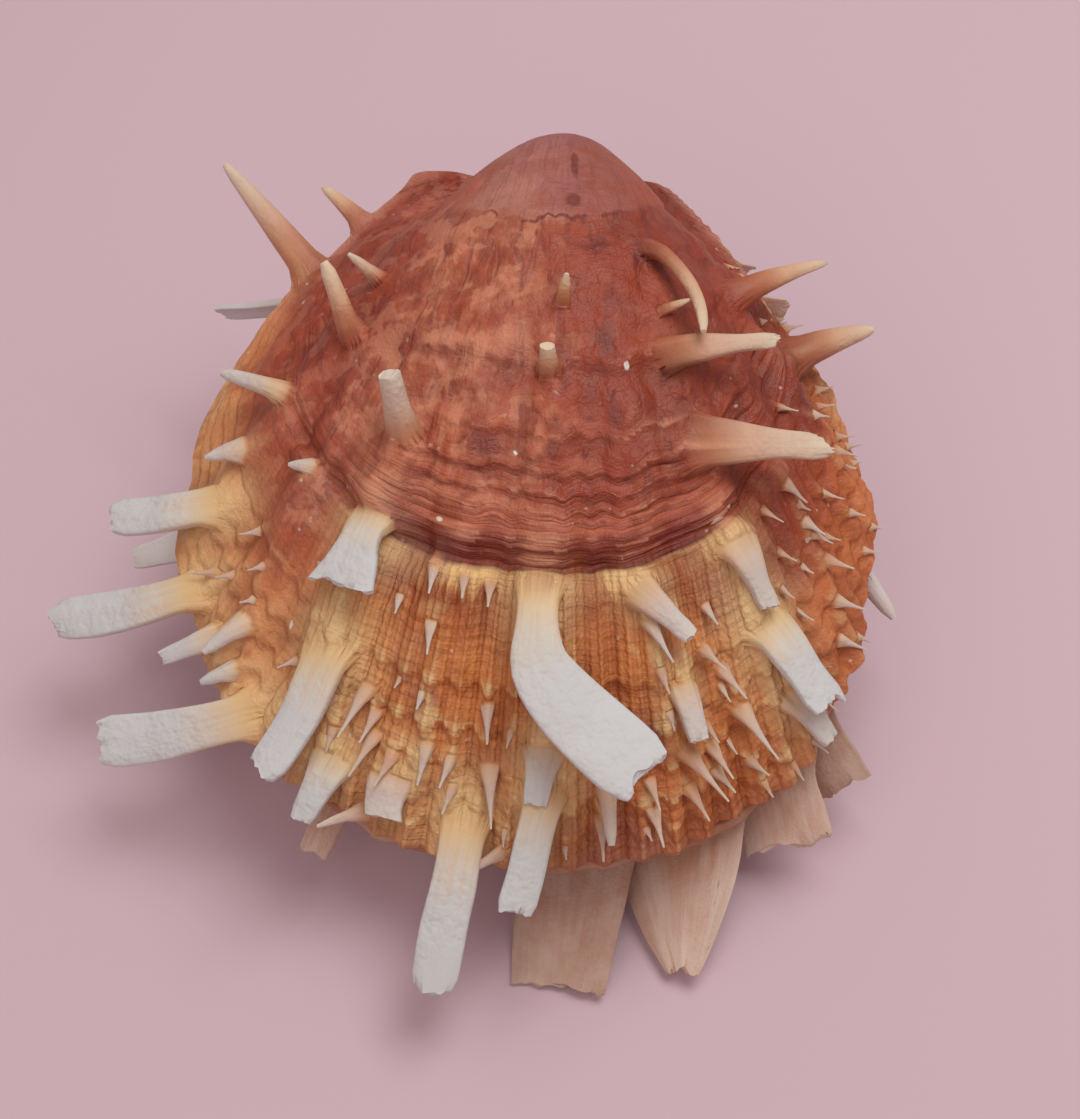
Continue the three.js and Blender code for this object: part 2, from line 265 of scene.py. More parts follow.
UPPER_SPINES = (
    # left shoulder
    Spine(0.94, -63.5, 59, -79, 26, 5.0, 1.5, white=0.25, curl=-1.8, swing=3.2),
    Spine(0.97, -71, 50, -62, 11.5, 3.2, 1.2, white=0.1, curl=-1.3),
    Spine(0.555, -36.6, 54, -163, 10.5, 3.6, 2.0, white=0.15, swing=-1.4),
    Spine(0.48, -40, 50, -100, 6, 2.0, 1.0, white=0.3),
    Spine(0.71, -42, 40, -72, 11, 3.0, 1.6, white=0.75, curl=-1.0),
    Spine(0.81, -42, 40, -30, 6, 3.4, 1.2, white=0.7),
    Spine(0.89, -41, 27, -37, 14.5, 5.0, 5.8, Form.BLADE, white=0.95, swing=-2.3),
    Spine(0.97, -38, 19, -33, 20, 5.0, 6.6, Form.BLADE, swing=-3.9),
    # left front
    Spine(0.96, -33, 20, -38, 8.5, 3.4, 2.4, Form.BLADE, white=0.9),
    Spine(0.91, -31, 28, -20, 7, 3.0, 1.4, white=0.8),
    Spine(0.98, -27, 21, -46, 19, 6.0, 6.8, Form.BLADE, swing=-3.5),
    Spine(0.6, -21, 50, -170, 8.6, 4.0, 3.2, Form.STUB, white=0.4),
    Spine(0.7, -22, 20, 4, 10.2, 5.0, 9.6, Form.FAN, chip=0.07),
    Spine(0.85, -22, 20, 14, 18.2, 6.4, 5.8, Form.BLADE, swing=-5.2),
    Spine(0.95, -19, 20, -6, 9, 5.0, 3.6, Form.BLADE),
    Spine(0.94, -14, 25, 6, 5, 5.0, 5.0, Form.FAN, white=0.7),
    # front middle
    Spine(0.96, -8, 20, -2, 22, 5.6, 6.4, Form.BLADE),
    Spine(0.505, -3, 62, 180, 4.2, 2.6, 1.9, Form.STUB, white=0.08),
    Spine(0.718, -2.9, 24, -3, 24.6, 5.0, 9.8, Form.BLADE, swing=14.8, curl=-1.2),
    Spine(0.88, -2, 22, -8, 7, 4.0, 3.4, Form.BLADE, white=0.9),
    Spine(0.92, -2, 22, -12, 16, 4.8, 5.0, Form.BLADE),
    Spine(0.92, 3, 20, 1, 7.5, 2.4, 1.4, white=0.6),
    Spine(0.73, 7, 22, 40, 9, 3.8, 2.8, Form.BLADE, white=0.7),
    Spine(0.84, 10, 25, 3, 7, 3.4, 3.0, Form.BLADE, white=0.75),
    # right side
    Spine(0.38, 16.8, 23, 27, 19.7, 2.6, 1.3, white=0.15, swing=-6.5, curl=-3.9),
    Spine(0.505, 15.1, 32, 87, 15.2, 4.2, 2.3, Form.BLADE, white=0.25, swing=1.5, curl=-3.6, chip=0.08),
    Spine(0.54, 37.8, 58, 82, 16, 4.0, 1.1, white=0.1, swing=4.1, curl=-3.2),
    Spine(0.61, 16.2, 28, 74, 16.6, 6.6, 3.6, Form.BLADE, white=0.25, curl=-0.6, chip=0.1),
    Spine(0.765, 43.5, 58, 63, 15.4, 5.2, 1.5, white=0.15, swing=-2, curl=-2.2),
    Spine(0.73, 18, 14, 8, 9.4, 4.6, 3.0, Form.BLADE, white=0.7),
    Spine(0.83, 19, 25, 13, 12.5, 6.0, 5.4, Form.BLADE, chip=0.12),
    Spine(0.92, 20, 22, 15, 8, 4.6, 3.2, Form.BLADE, white=0.8),
    # small ones that stand out between the others
    Spine(0.71, -32, 25, -68, 3.2, 2.0, 0.9, white=0.7),
    Spine(0.96, -30, 25, -39, 5.2, 2.4, 1.4, white=0.9),
    Spine(0.46, 16, 55, 90, 4.4, 1.5, 0.7, white=0.1),
    Spine(0.985, -15.5, 6, -64, 5.4, 2.0, 0.8, white=0.5, curl=3.4),
    Spine(0.985, -4.8, 4, -60, 4.6, 1.7, 0.8, white=0.5, curl=2.2),
    Spine(0.43, -1, 60, 165, 4.2, 1.9, 1.0, white=0.0),
)

# Thorns of the new growth that can be told apart: bearing, age, length, lean
THORNS = (
    (-17.5, 0.86, 7.5, -9), (-16.5, 0.88, 4.5, -6), (-19.5, 0.92, 3, 6), (-16, 0.9, 6.5, -13),
    (-14, 0.91, 5, -17), (-11.5, 0.89, 5.5, 0), (-9.5, 0.9, 4, -11), (-6.5, 0.9, 8, 12),
    (-14, 0.93, 4, -8), (-13.5, 0.96, 5, -11), (-11.5, 0.92, 8, 8), (-9, 0.93, 3.5, -14),
    (-8.5, 0.95, 2.5, -11), (-6.5, 0.96, 2.5, -2), (-7, 0.84, 5, 9), (-12.5, 0.84, 2.5, -7),
    (-13, 0.77, 4.5, 10), (-17, 0.76, 2.5, 20), (-14, 0.72, 3.5, 12), (-10.5, 0.72, 3, 10),
    (-8, 0.72, 3.5, 8), (7.5, 0.76, 6.5, 19), (13.5, 0.77, 3, 11), (12.5, 0.81, 4, 30),
    (14, 0.84, 5, 20), (11, 0.82, 2.5, 29), (11.5, 0.86, 3, 23), (15, 0.89, 8, 14),
    (8, 0.81, 3.5, 11), (12, 0.89, 2.5, 13), (12, 0.91, 5, 16), (9.5, 0.9, 8.5, 29),
    (15, 0.95, 3, 34), (12, 0.94, 3.5, 27), (9.5, 0.94, 5, 19), (2.5, 0.95, 5.5, -1),
    (6.5, 0.92, 4, 9), (6.5, 0.95, 5, 6), (-31.5, 0.93, 4.5, -31), (-28.5, 0.94, 5.5, -50),
    (27.5, 0.91, 4.5, 44), (28, 0.86, 4.5, 44), (26.5, 0.95, 4, 42), (27.5, 0.8, 3.5, 27),
    (27, 0.74, 4, 14),
)

# Flecks on the skin: age, rib, half sizes along both, and strength, above 0 for white and below for dark; the
# dark ones at ages 0.51 and 0.52 are painted shadow in front of the middle stub
FLECKS_AND_SHADE = (
    (0.25, 0.45, 0.016, 0.14, -1.3), (0.3, 0.35, 0.011, 0.22, -1.5), (0.225, 0.5, 0.012, 0.12, -1.3),
    (0.505, 1.05, 0.005, 0.05, 1), (0.59, -0.45, 0.003, 0.03, 1), (0.695, 1.9, 0.003, 0.1, 1),
    (0.865, -2.5, 0.005, 0.03, 1), (0.67, -1.25, 0.003, 0.05, 1), (0.51, -0.15, 0.016, 0.14, -1),
    (0.52, 0.15, 0.012, 0.08, -0.8), (0.585, 0, 0.014, 0.14, -1), (0.595, -0.2, 0.008, 0.12, -0.8),
    (0.555, 0.8, 0.028, 0.13, -0.9), (0.475, 0.75, 0.022, 0.13, -0.85), (0.36, 0.8, 0.016, 0.4, -0.8),
    (0.39, 1.65, 0.018, 0.2, -0.9), (0.525, 1.65, 0.018, 0.25, -0.9), (0.585, -0.85, 0.016, 0.22, -0.75),
    (0.59, 0.4, 0.006, 0.06, -0.9), (0.43, 0.05, 0.012, 0.07, -0.8), (0.68, 2.2, 0.02, 0.3, -0.7),
    (0.655, 3.55, 0.03, 0.4, -0.6), (0.505, -1.95, 0.008, 0.1, -0.8), (0.505, -1.45, 0.006, 0.08, -0.8),
)

LOWER_LEAVES = (
    # the first leaf lies in the shadow under the front margin; its low white browns it as painted shade
    Spine(0.93, 1.6, 45, -15, 21.5, 15.5, 12.8, Form.LEAF, white=0.22, chip=0.05),
    Spine(0.93, 9.8, 38, -22, 22.8, 19, 4.6, Form.LEAF, white=0.5, chip=0.045),
    Spine(0.95, 17, 44, -20, 11.5, 12, 13, Form.LEAF, white=0.5, chip=0.1),
    Spine(0.95, 21.5, 46, -16, 11.5, 8, 8, Form.LEAF, white=0.2, chip=0.1),
    Spine(0.95, -17, 42, 0, 10, 5, 4, Form.LEAF, white=0.6),
    Spine(0.97, -40, 55, -24, 10, 4.4, 3.4, Form.BLADE, white=1.0),
    Spine(0.95, -56, 60, 48, 22, 5.4, 4.6, Form.BLADE),
    Spine(0.95, 56, 66, -59, 10, 6, 5, Form.LEAF, white=0.5),
    Spine(0.97, 33, 41, -27, 8.5, 3.4, 1.6, white=0.8),
    Spine(0.9, 5.5, 36, -10, 17, 5, 4, Form.LEAF, white=0.5, chip=0.1),
)


@dataclass
class Relief:
    """What stands on a smooth growth surface: heights, crests and grooves that the upper finish paints as
    highlight and shade, and the wavy age.
    """

    height: np.ndarray
    crest: np.ndarray
    stage: np.ndarray


@dataclass(frozen=True)
class Zone:
    """Run of rows of a valve's sheet between two ages, with its fineness across."""

    start: float
    end: float
    rows: int
    splits: int


@dataclass
class ValveSheet:
    """Fine skin of one valve: a grid that becomes the outer wall, the rim and the inner wall."""

    growth: Growth
    zones: tuple[Zone, ...]
    columns: int
    relief: Callable[[np.ndarray, np.ndarray, np.ndarray], Relief]
    inner_rows: int = 10
    rim_rows: int = 3
    front_share: float = 0.47
    crowding: float = 0.4
    rim_inset: float = 0.012
    hollow_reach: float = 0.86
    hollow_drop: float = 1.2
    bm: bmesh.types.BMesh = field(default_factory=bmesh.new)

    def row_total(self) -> int:
        """Number of rows of faces from the beak to the middle of the hollow."""
        return self.outer_rows() + self.rim_rows + self.inner_rows

    def outer_rows(self) -> int:
        """Number of rows of faces on the outer wall."""
        return sum(zone.rows for zone in self.zones)

    def age_of_row(self, row: np.ndarray) -> np.ndarray:
        """Age at each row of the outer wall, 1 at the margin and after it.

        Args:
            row: numbers of rows, 0 at the beak.

        Returns:
            One age for each row.
        """
        stops, ages, at = [0.0], [self.zones[0].start], 0
        for zone in self.zones:
            at += zone.rows
            stops.append(float(at))
            ages.append(zone.end)
        return np.interp(row, stops, ages)

    def weave(self) -> None:
        """Makes the flat grid and splits it finer towards the margin."""
        bm = self.bm
        total = self.row_total()
        bmesh.ops.create_grid(bm, x_segments=self.columns, y_segments=total, size=1.0)
        low = min(v.co.y for v in bm.verts)
        high = max(v.co.y for v in bm.verts)
        for vert in bm.verts:
            vert.co.y = round((vert.co.y - low) / (high - low) * total)
        # a zone finer than the one before is split from its first row to the rim
        at = 0
        fine_to = self.outer_rows() + 1
        done = 0
        for zone in self.zones:
            while done < zone.splits:
                edges = [
                    e for e in bm.edges
                    if abs(e.verts[0].co.y - e.verts[1].co.y) < 0.5 and at <= e.verts[0].co.y <= fine_to
                ]
                bmesh.ops.subdivide_edges(bm, edges=edges, cuts=1, use_grid_fill=True)
                done += 1
            at += zone.rows

    def shape(self) -> None:
        """Lays the grid over the growth surface, folds the rim and adds the relief."""
        bm = self.bm
        bm.verts.ensure_lookup_table()
        flat = np.array([v.co[:] for v in bm.verts])
        row = np.round(flat[:, 1])
        # the columns crowd together at the front
        across = (flat[:, 0] - flat[:, 0].min()) / np.ptp(flat[:, 0])
        share = across - self.crowding / (2 * math.pi) * np.sin(2 * math.pi * (across - self.front_share))
        share -= self.crowding / (2 * math.pi) * math.sin(2 * math.pi * self.front_share)
        outer = self.outer_rows()
        age = self.age_of_row(row)
        bearing = self.growth.bearing(share)
        place = self.growth.point(age, share)
        normal = self.growth.axes(np.minimum(age, 0.997), share)[2]
        relief = self.relief(age, bearing, place)
        place = place + normal * relief.height[:, None]
        self._fold_rim(place, row, outer)
        self._line_hollow(place, row, share, outer)
        # the first and the last row close to a point
        for end in (0, self.row_total()):
            place[row == end] = place[row == end].mean(axis=0)
        # what the finishes and the spines read from the vertices
        layers = {
            "age": age,
            "rib": (bearing - RIB_OFFSET) / RIB_PITCH,
            "crest": relief.crest,
            "stage": relief.stage,
            "inside": (row > outer + 1).astype(float),
        }
        for name, values in layers.items():
            layer = bm.verts.layers.float.new(name)
            for vert, value in zip(bm.verts, values):
                vert[layer] = value
        for name in ("spine", "white", "root_p", "root_q", "owner"):
            bm.verts.layers.float.new(name)
        for vert, co in zip(bm.verts, place):
            vert.co = co
        bmesh.ops.remove_doubles(bm, verts=bm.verts[:], dist=1e-4)
        bmesh.ops.recalc_face_normals(bm, faces=bm.faces[:])

    def _fold_rim(self, place: np.ndarray, row: np.ndarray, outer: int) -> None:
        """Bends the rows after the margin down to the joint.

        Args:
            place: places of all vertices, which are changed.
            row: row of each vertex.
            outer: number of rows on the outer wall.
        """
        side = self.growth.side
        for step in range(1, self.rim_rows):
            rows = row == outer + step
            drop = step / (self.rim_rows - 1)
            inset = self.rim_inset * drop * drop
            place[rows, 0] += (CAVITY_X - place[rows, 0]) * inset
            place[rows, 1] += (CAVITY_Y - place[rows, 1]) * inset
            place[rows, 2] += (side * HALF_GAP - place[rows, 2]) * drop

    def _line_hollow(self, place: np.ndarray, row: np.ndarray, share: np.ndarray, outer: int) -> None:
        """Lays the last rows over the inner wall.

        Args:
            place: places of all vertices, which are changed.
            row: row of each vertex.
            share: share of the way round the edge of each vertex.
            outer: number of rows on the outer wall.
        """
        first = outer + self.rim_rows
        rows = row >= first
        depth = (row[rows] - first) / self.inner_rows
        inner = self.growth.point(1.0 - self.hollow_reach * depth, share[rows])
        centre = np.array([CAVITY_X, CAVITY_Y, 0.0])
        inner = centre + (inner - centre) * CAVITY_SCALE
        inner[:, 2] -= self.growth.side * self.hollow_drop
        inner[depth == 0, 2] = self.growth.side * HALF_GAP
        place[rows] = inner


@dataclass
class Root:
    """One spine with the patch of skin it grows from and the directions at its foot."""

    spine: Spine
    base: np.ndarray
    heading: np.ndarray
    wide: np.ndarray
    right: np.ndarray
    normal: np.ndarray
    foot: np.ndarray = field(default_factory=lambda: np.zeros(3))
    faces: list = field(default_factory=list)

    @classmethod
    def of(cls, growth: Growth, spine: Spine) -> "Root":
        """Finds where a spine stands on a valve and where it points.

        Args:
            growth: growth surface of the valve.
            spine: the spine.

        Returns:
            The root, without its patch of skin.
        """
        share = np.array([growth.share_at(spine.bearing)])
        age = np.array([spine.age])
        out, right, normal = (v[0] for v in growth.axes(age, share))
        lean, lift = math.radians(spine.lean), math.radians(spine.lift)
        flat = out * math.cos(lean) + right * math.sin(lean)
        heading = flat * math.cos(lift) + normal * math.sin(lift)
        wide = np.cross(heading, normal)
        return cls(spine, growth.point(age, share)[0], heading, wide / np.linalg.norm(wide), right, normal)

    def rings(self) -> int:
        """Number of rings of faces along the spine."""
        return int(np.clip(self.spine.length / 1.25, 4, 18))

    def section(self, along: float, p: np.ndarray, q: np.ndarray) -> np.ndarray:
        """Places of a ring of the spine.

        Args:
            along: share of the length.
            p: places across on the unit disc.
            q: places through on the unit disc, positive on the upper side.

        Returns:
            One row of x, y, z in millimetres for each place.
        """
        spine = self.spine
        seed = spine.age * 31.7 + spine.bearing * 1.37
        half, depth = self.half_sizes(along)
        flare = 1.0 + (0.2 if spine.form is Form.THORN else 0.5) * math.exp(-along * spine.length / 0.9)
        rough = lattice_noise(np.stack([p * 1.6 + seed, 0 * p + along * 3.0, 0 * p + seed], axis=1), 3.0)
        # the noise wears the outer part of a blade or leaf to a ragged end
        worn = np.full(len(p), along)
        if spine.form not in (Form.TAPER, Form.THORN):
            fine = lattice_noise(np.stack([p * 4.0 + seed, q * 1.5, 0 * p], axis=1), 8.0)
            outer = float(smoothstep(0.3, 1.0, np.array([along]))[0])
            worn = along * (1.0 + spine.chip * (rough + 0.6 * fine) * outer)
        # the section lies in the skin at the root and soon stands square to the spine
        upright = min(1.0, along * spine.length / (0.8 * spine.root))
        turned = self.normal + (self.heading - self.normal) * upright
        turned /= np.linalg.norm(turned)
        through = np.cross(self.wide, turned)
        bend = self._bend(worn)[0]
        slope = float(self._bend(np.array([along]))[1][0])
        track = self.heading * spine.length + self.right * (spine.swing * slope)
        aside = np.cross(track, through)
        aside /= np.linalg.norm(aside)
        # the lower part is lifted, so that the spine swells out of the skin
        raised = 0.8 * depth * (1 - math.exp(-3 * along * spine.length / spine.root)) * (1 - along)
        place = self.base + self.foot * (1 - 0.7 * along) + self.normal * raised
        place = place + np.outer(worn * spine.length, self.heading)
        place += np.outer(bend * spine.swing, self.right) + np.outer(bend * spine.curl, self.normal)
        ragged = 0.11 if spine.form in (Form.BLADE, Form.FAN) else 0.06
        place += np.outer(p * half * flare * (1 + ragged * rough), aside)
        return place + np.outer(self._through(p, q, rough, half, depth, along) * flare, through)

    def _bend(self, along: np.ndarray) -> tuple[np.ndarray, np.ndarray]:
        """Bends a spine in an even curve, or at an elbow if its tip swings far.

        Args:
            along: shares of the length.

        Returns:
            The bend, 0 at the root and 1 at the tip, and its slope.
        """
        if abs(self.spine.swing) < ELBOW_SWING:
            return along**2, 2 * along
        past, soft = along - ELBOW, math.hypot(ELBOW, ELBOW_SOFT)
        reach = np.hypot(past, ELBOW_SOFT)
        full = 1.0 - ELBOW + math.hypot(1.0 - ELBOW, ELBOW_SOFT) + ELBOW - soft
        return (past + reach + ELBOW - soft) / full, (1.0 + past / reach) / full

    def half_sizes(self, along: float) -> tuple[float, float]:
        """Half width and half depth of the section.

        Args:
            along: share of the length.

        Returns:
            Both in millimetres.
        """
        spine = self.spine
        half = (spine.root + (spine.tip - spine.root) * along) / 2
        depth = min(0.8 * half, 1.2) * (1 - 0.45 * along)
        if spine.form is Form.TAPER:
            half *= 1.0 - 0.4 * (max(0.0, along - 0.85) / 0.15) ** 2
            depth = min(0.85 * half, 1.7)
        elif spine.form is Form.THORN:
            half = (spine.tip + (spine.root - spine.tip) * (1 - along) ** 1.8) / 2
            depth = 0.7 * half
        elif spine.form is Form.FAN:
            half = (spine.root + (spine.tip - spine.root) * along**1.5) / 2
        elif spine.form is Form.STUB:
            depth = min(0.8 * half, 1.6)
        elif spine.form is Form.LEAF:
            half = (spine.root + (spine.tip - spine.root) * along**2) / 2
            depth = 0.8 - 0.4 * along
        elif spine.form is Form.BLADE:
            widened = float(smoothstep(0.12, 0.75, np.array([along]))[0])
            half = (spine.root + (spine.tip - spine.root) * widened) / 2
            half *= 1.0 - 0.16 * max(0.0, (along - 0.9) / 0.1) ** 2
        return half, depth

    def _through(self, p: np.ndarray, q: np.ndarray, rough: np.ndarray, half: float, depth: float,
                 along: float) -> np.ndarray:
        """Offsets through the section, with its rounded back and hollow underside.

        Args:
            p: places across on the unit disc.
            q: places through on the unit disc.
            rough: noise at each place.
            half: half width of the section.
            depth: half depth of the section.
            along: share of the length.

        Returns:
            One offset in millimetres for each place.
        """
        form = self.spine.form
        if form in (Form.TAPER, Form.THORN):
            return q * depth
        hollow = 0.6 if form in (Form.BLADE, Form.FAN) else 0.0
        gutter = np.where(q < 0, hollow, 0.0) * (1 - p * p) * min(1.0, 2 * along)
        arch = -0.05 * half * p * p * along
        if form is Form.LEAF:
            arch = 0.3 * rough * along - 0.05 * half * p * along
        if form in (Form.BLADE, Form.FAN):
            q = np.sign(q) * np.abs(q) ** 0.45
        return (q + gutter) * depth + arch + 0.16 * rough * along


@dataclass
class SpineGrower:
    """Grows spines and leaves out of a valve's skin by extruding patches of its faces."""

    sheet: ValveSheet
    reach: float = 7.0
    least_half: float = 0.6
    clearance: float = 0.7
    fewest_corners: int = 6
    rounding_passes: int = 24
    roots: list[Root] = field(default_factory=list)
    used: set = field(default_factory=set)
    faces: list = field(init=False)
    centres: np.ndarray = field(init=False)
    taken: np.ndarray = field(init=False)

    def __post_init__(self) -> None:
        """Notes where every face of the skin is before anything is pulled out of it."""
        bm = self.sheet.bm
        bm.faces.ensure_lookup_table()
        inside = bm.verts.layers.float["inside"]
        self.faces = [f for f in bm.faces if all(v[inside] < 0.5 for v in f.verts)]
        self.centres = np.array([f.calc_center_median()[:] for f in self.faces])
        self.taken = np.zeros(len(self.faces), dtype=bool)

    def plant(self, spine: Spine) -> bool:
        """Picks the patch of skin for a spine.

        Args:
            spine: what to grow and where.

        Returns:
            Whether there was free skin for it.
        """
        root = Root.of(self.sheet.growth, spine)
        half, depth = root.half_sizes(0.0)
        fore = np.cross(root.normal, root.wide)
        offset = self.centres - root.base
        u, v = offset @ root.wide, offset @ fore
        spread = 1.15 if spine.form is Form.THORN else 1.4
        half_wide, half_long = (max(spread * size, self.least_half) for size in (half, depth))
        near = np.abs(offset @ root.normal) < self.reach
        picks = near & ((u / half_wide) ** 2 + (v / half_long) ** 2 < 1.0)
        if np.any(self.taken & picks):
            return False
        patch = self._tidy([self.faces[i] for i in np.nonzero(picks)[0]])
        loop = self._boundary(patch)
        corners = {v for f in patch for v in f.verts}
        if loop is None or corners & self.used:
            return False
        self.used |= corners
        root.faces = patch
        root.foot = np.mean([v.co[:] for v in loop], axis=0) - root.base
        self._mark(patch, loop, root.base, root.wide, -fore, len(self.roots))
        self.roots.append(root)
        half_wide, half_long = half_wide + self.clearance, half_long + self.clearance
        self.taken |= near & ((u / half_wide) ** 2 + (v / half_long) ** 2 < 1.0)
        return True

    def _tidy(self, patch: list) -> list:
        """Drops faces that hang on to the patch by one edge only.

        Args:
            patch: the faces that were picked.

        Returns:
            The faces that stay.
        """
        members = set(patch)
        while True:
            loose = [
                face for face in members
                if sum(o in members for e in face.edges for o in e.link_faces if o is not face) < 2
            ]
            if not loose:
                return [face for face in patch if face in members]
            members.difference_update(loose)

    def _boundary(self, patch: list) -> Optional[list]:
        """Finds the loop of vertices round a patch.

        Args:
            patch: the faces.

        Returns:
            The vertices in order, or nothing when they are not one plain loop.
        """
        members = set(patch)
        after: dict = {}
        for face in patch:
            for loop in face.loops:
                if not any(o in members for o in loop.edge.link_faces if o is not face):
                    if loop.vert in after:
                        return None
                    after[loop.vert] = loop.link_loop_next.vert
        if len(after) < self.fewest_corners:
            return None
        first = next(iter(after))
        ordered = [first]
        while after[ordered[-1]] is not first:
            ordered.append(after[ordered[-1]])
            if len(ordered) > len(after):
                return None
        return ordered if len(ordered) == len(after) else None

    def _mark(self, patch: list, loop: list, base: np.ndarray, wide: np.ndarray, up: np.ndarray,
              index: int) -> None:
        """Writes each patch vertex's place in the spine's section, on the unit disc.

        Args:
            patch: the faces.
            loop: the vertices round them, in order.
            base: foot of the spine.
            wide: direction across the spine.
            up: direction through it, towards its upper side.
            index: number of the spine.
        """
        layers = self.sheet.bm.verts.layers.float
        spot = np.array([v.co[:] for v in loop]) - base
        flat = np.stack([spot @ wide, spot @ up], axis=1)
        flat -= (flat.max(axis=0) + flat.min(axis=0)) / 2
        flat /= np.abs(flat).max(axis=0)
        # the loop's vertices are spread round the disc, partly evened out
        angle = np.unwrap(np.arctan2(flat[:, 1], flat[:, 0]))
        even = angle[0] + np.sign(angle[-1] - angle[0]) * np.arange(len(loop)) * 2 * math.pi / len(loop)
        even += np.mean(angle - even)
        angle = 0.35 * angle + 0.65 * even
        where = {v: np.array([math.cos(t), math.sin(t)]) for v, t in zip(loop, angle)}
        # the vertices within it settle between their neighbours
        inner = list(dict.fromkeys(v for f in patch for v in f.verts if v not in where))
        where.update({v: np.zeros(2) for v in inner})
        beside = {v: [e.other_vert(v) for e in v.link_edges if e.other_vert(v) in where] for v in inner}
        for _ in range(self.rounding_passes):
            for vert in inner:
                where[vert] = sum(where[o] for o in beside[vert]) / len(beside[vert])
        for vert, (p, q) in where.items():
            vert[layers["root_p"]] = p
            vert[layers["root_q"]] = q
            vert[layers["owner"]] = index

    def grow(self) -> None:
        """Pulls all planted spines out ring by ring along their bent middle lines."""
        bm = self.sheet.bm
        layers = bm.verts.layers.float
        p_layer, q_layer, owner = layers["root_p"], layers["root_q"], layers["owner"]
        for ring in range(1, 1 + max(root.rings() for root in self.roots)):
            growing = [root for root in self.roots if root.rings() >= ring]
            caps = [f for root in growing for f in root.faces]
            geom = bmesh.ops.extrude_face_region(bm, geom=caps)["geom"]
            bmesh.ops.delete(bm, geom=caps, context="FACES")
            for root in growing:
                root.faces = []
            groups: dict = {}
            for item in geom:
                if isinstance(item, bmesh.types.BMFace):
                    self.roots[round(item.verts[0][owner])].faces.append(item)
                elif isinstance(item, bmesh.types.BMVert):
                    groups.setdefault(round(item[owner]), []).append(item)
            for index, verts in groups.items():
                root = self.roots[index]
                # rings are closer at the root, and the first ones ease out of the skin
                along = (ring / root.rings()) ** 1.15
                p = np.array([v[p_layer] for v in verts])
                q = np.array([v[q_layer] for v in verts])
                eased = min(1.0, 0.3 + 0.35 * ring)
                for vert, place in zip(verts, root.section(along, p, q)):
                    vert.co = vert.co.lerp(Vector(place), eased)
                    vert[layers["spine"]] = along
                    vert[layers["white"]] = root.spine.white


def settle(bm: bmesh.types.BMesh) -> None:
    """Tilts the joint plane, lifts the valve and puts the scar's middle at the origin, in metres.

    Args:
        bm: the valve, which is changed.
    """
    turn = Matrix.Rotation(JOINT_TILT, 4, "X")
    lift = Matrix.Translation((-SCAR_X, -SCAR_Y, JOINT_HEIGHT))
    bmesh.ops.transform(bm, matrix=Matrix.Scale(MM, 4) @ lift @ turn, verts=bm.verts[:])


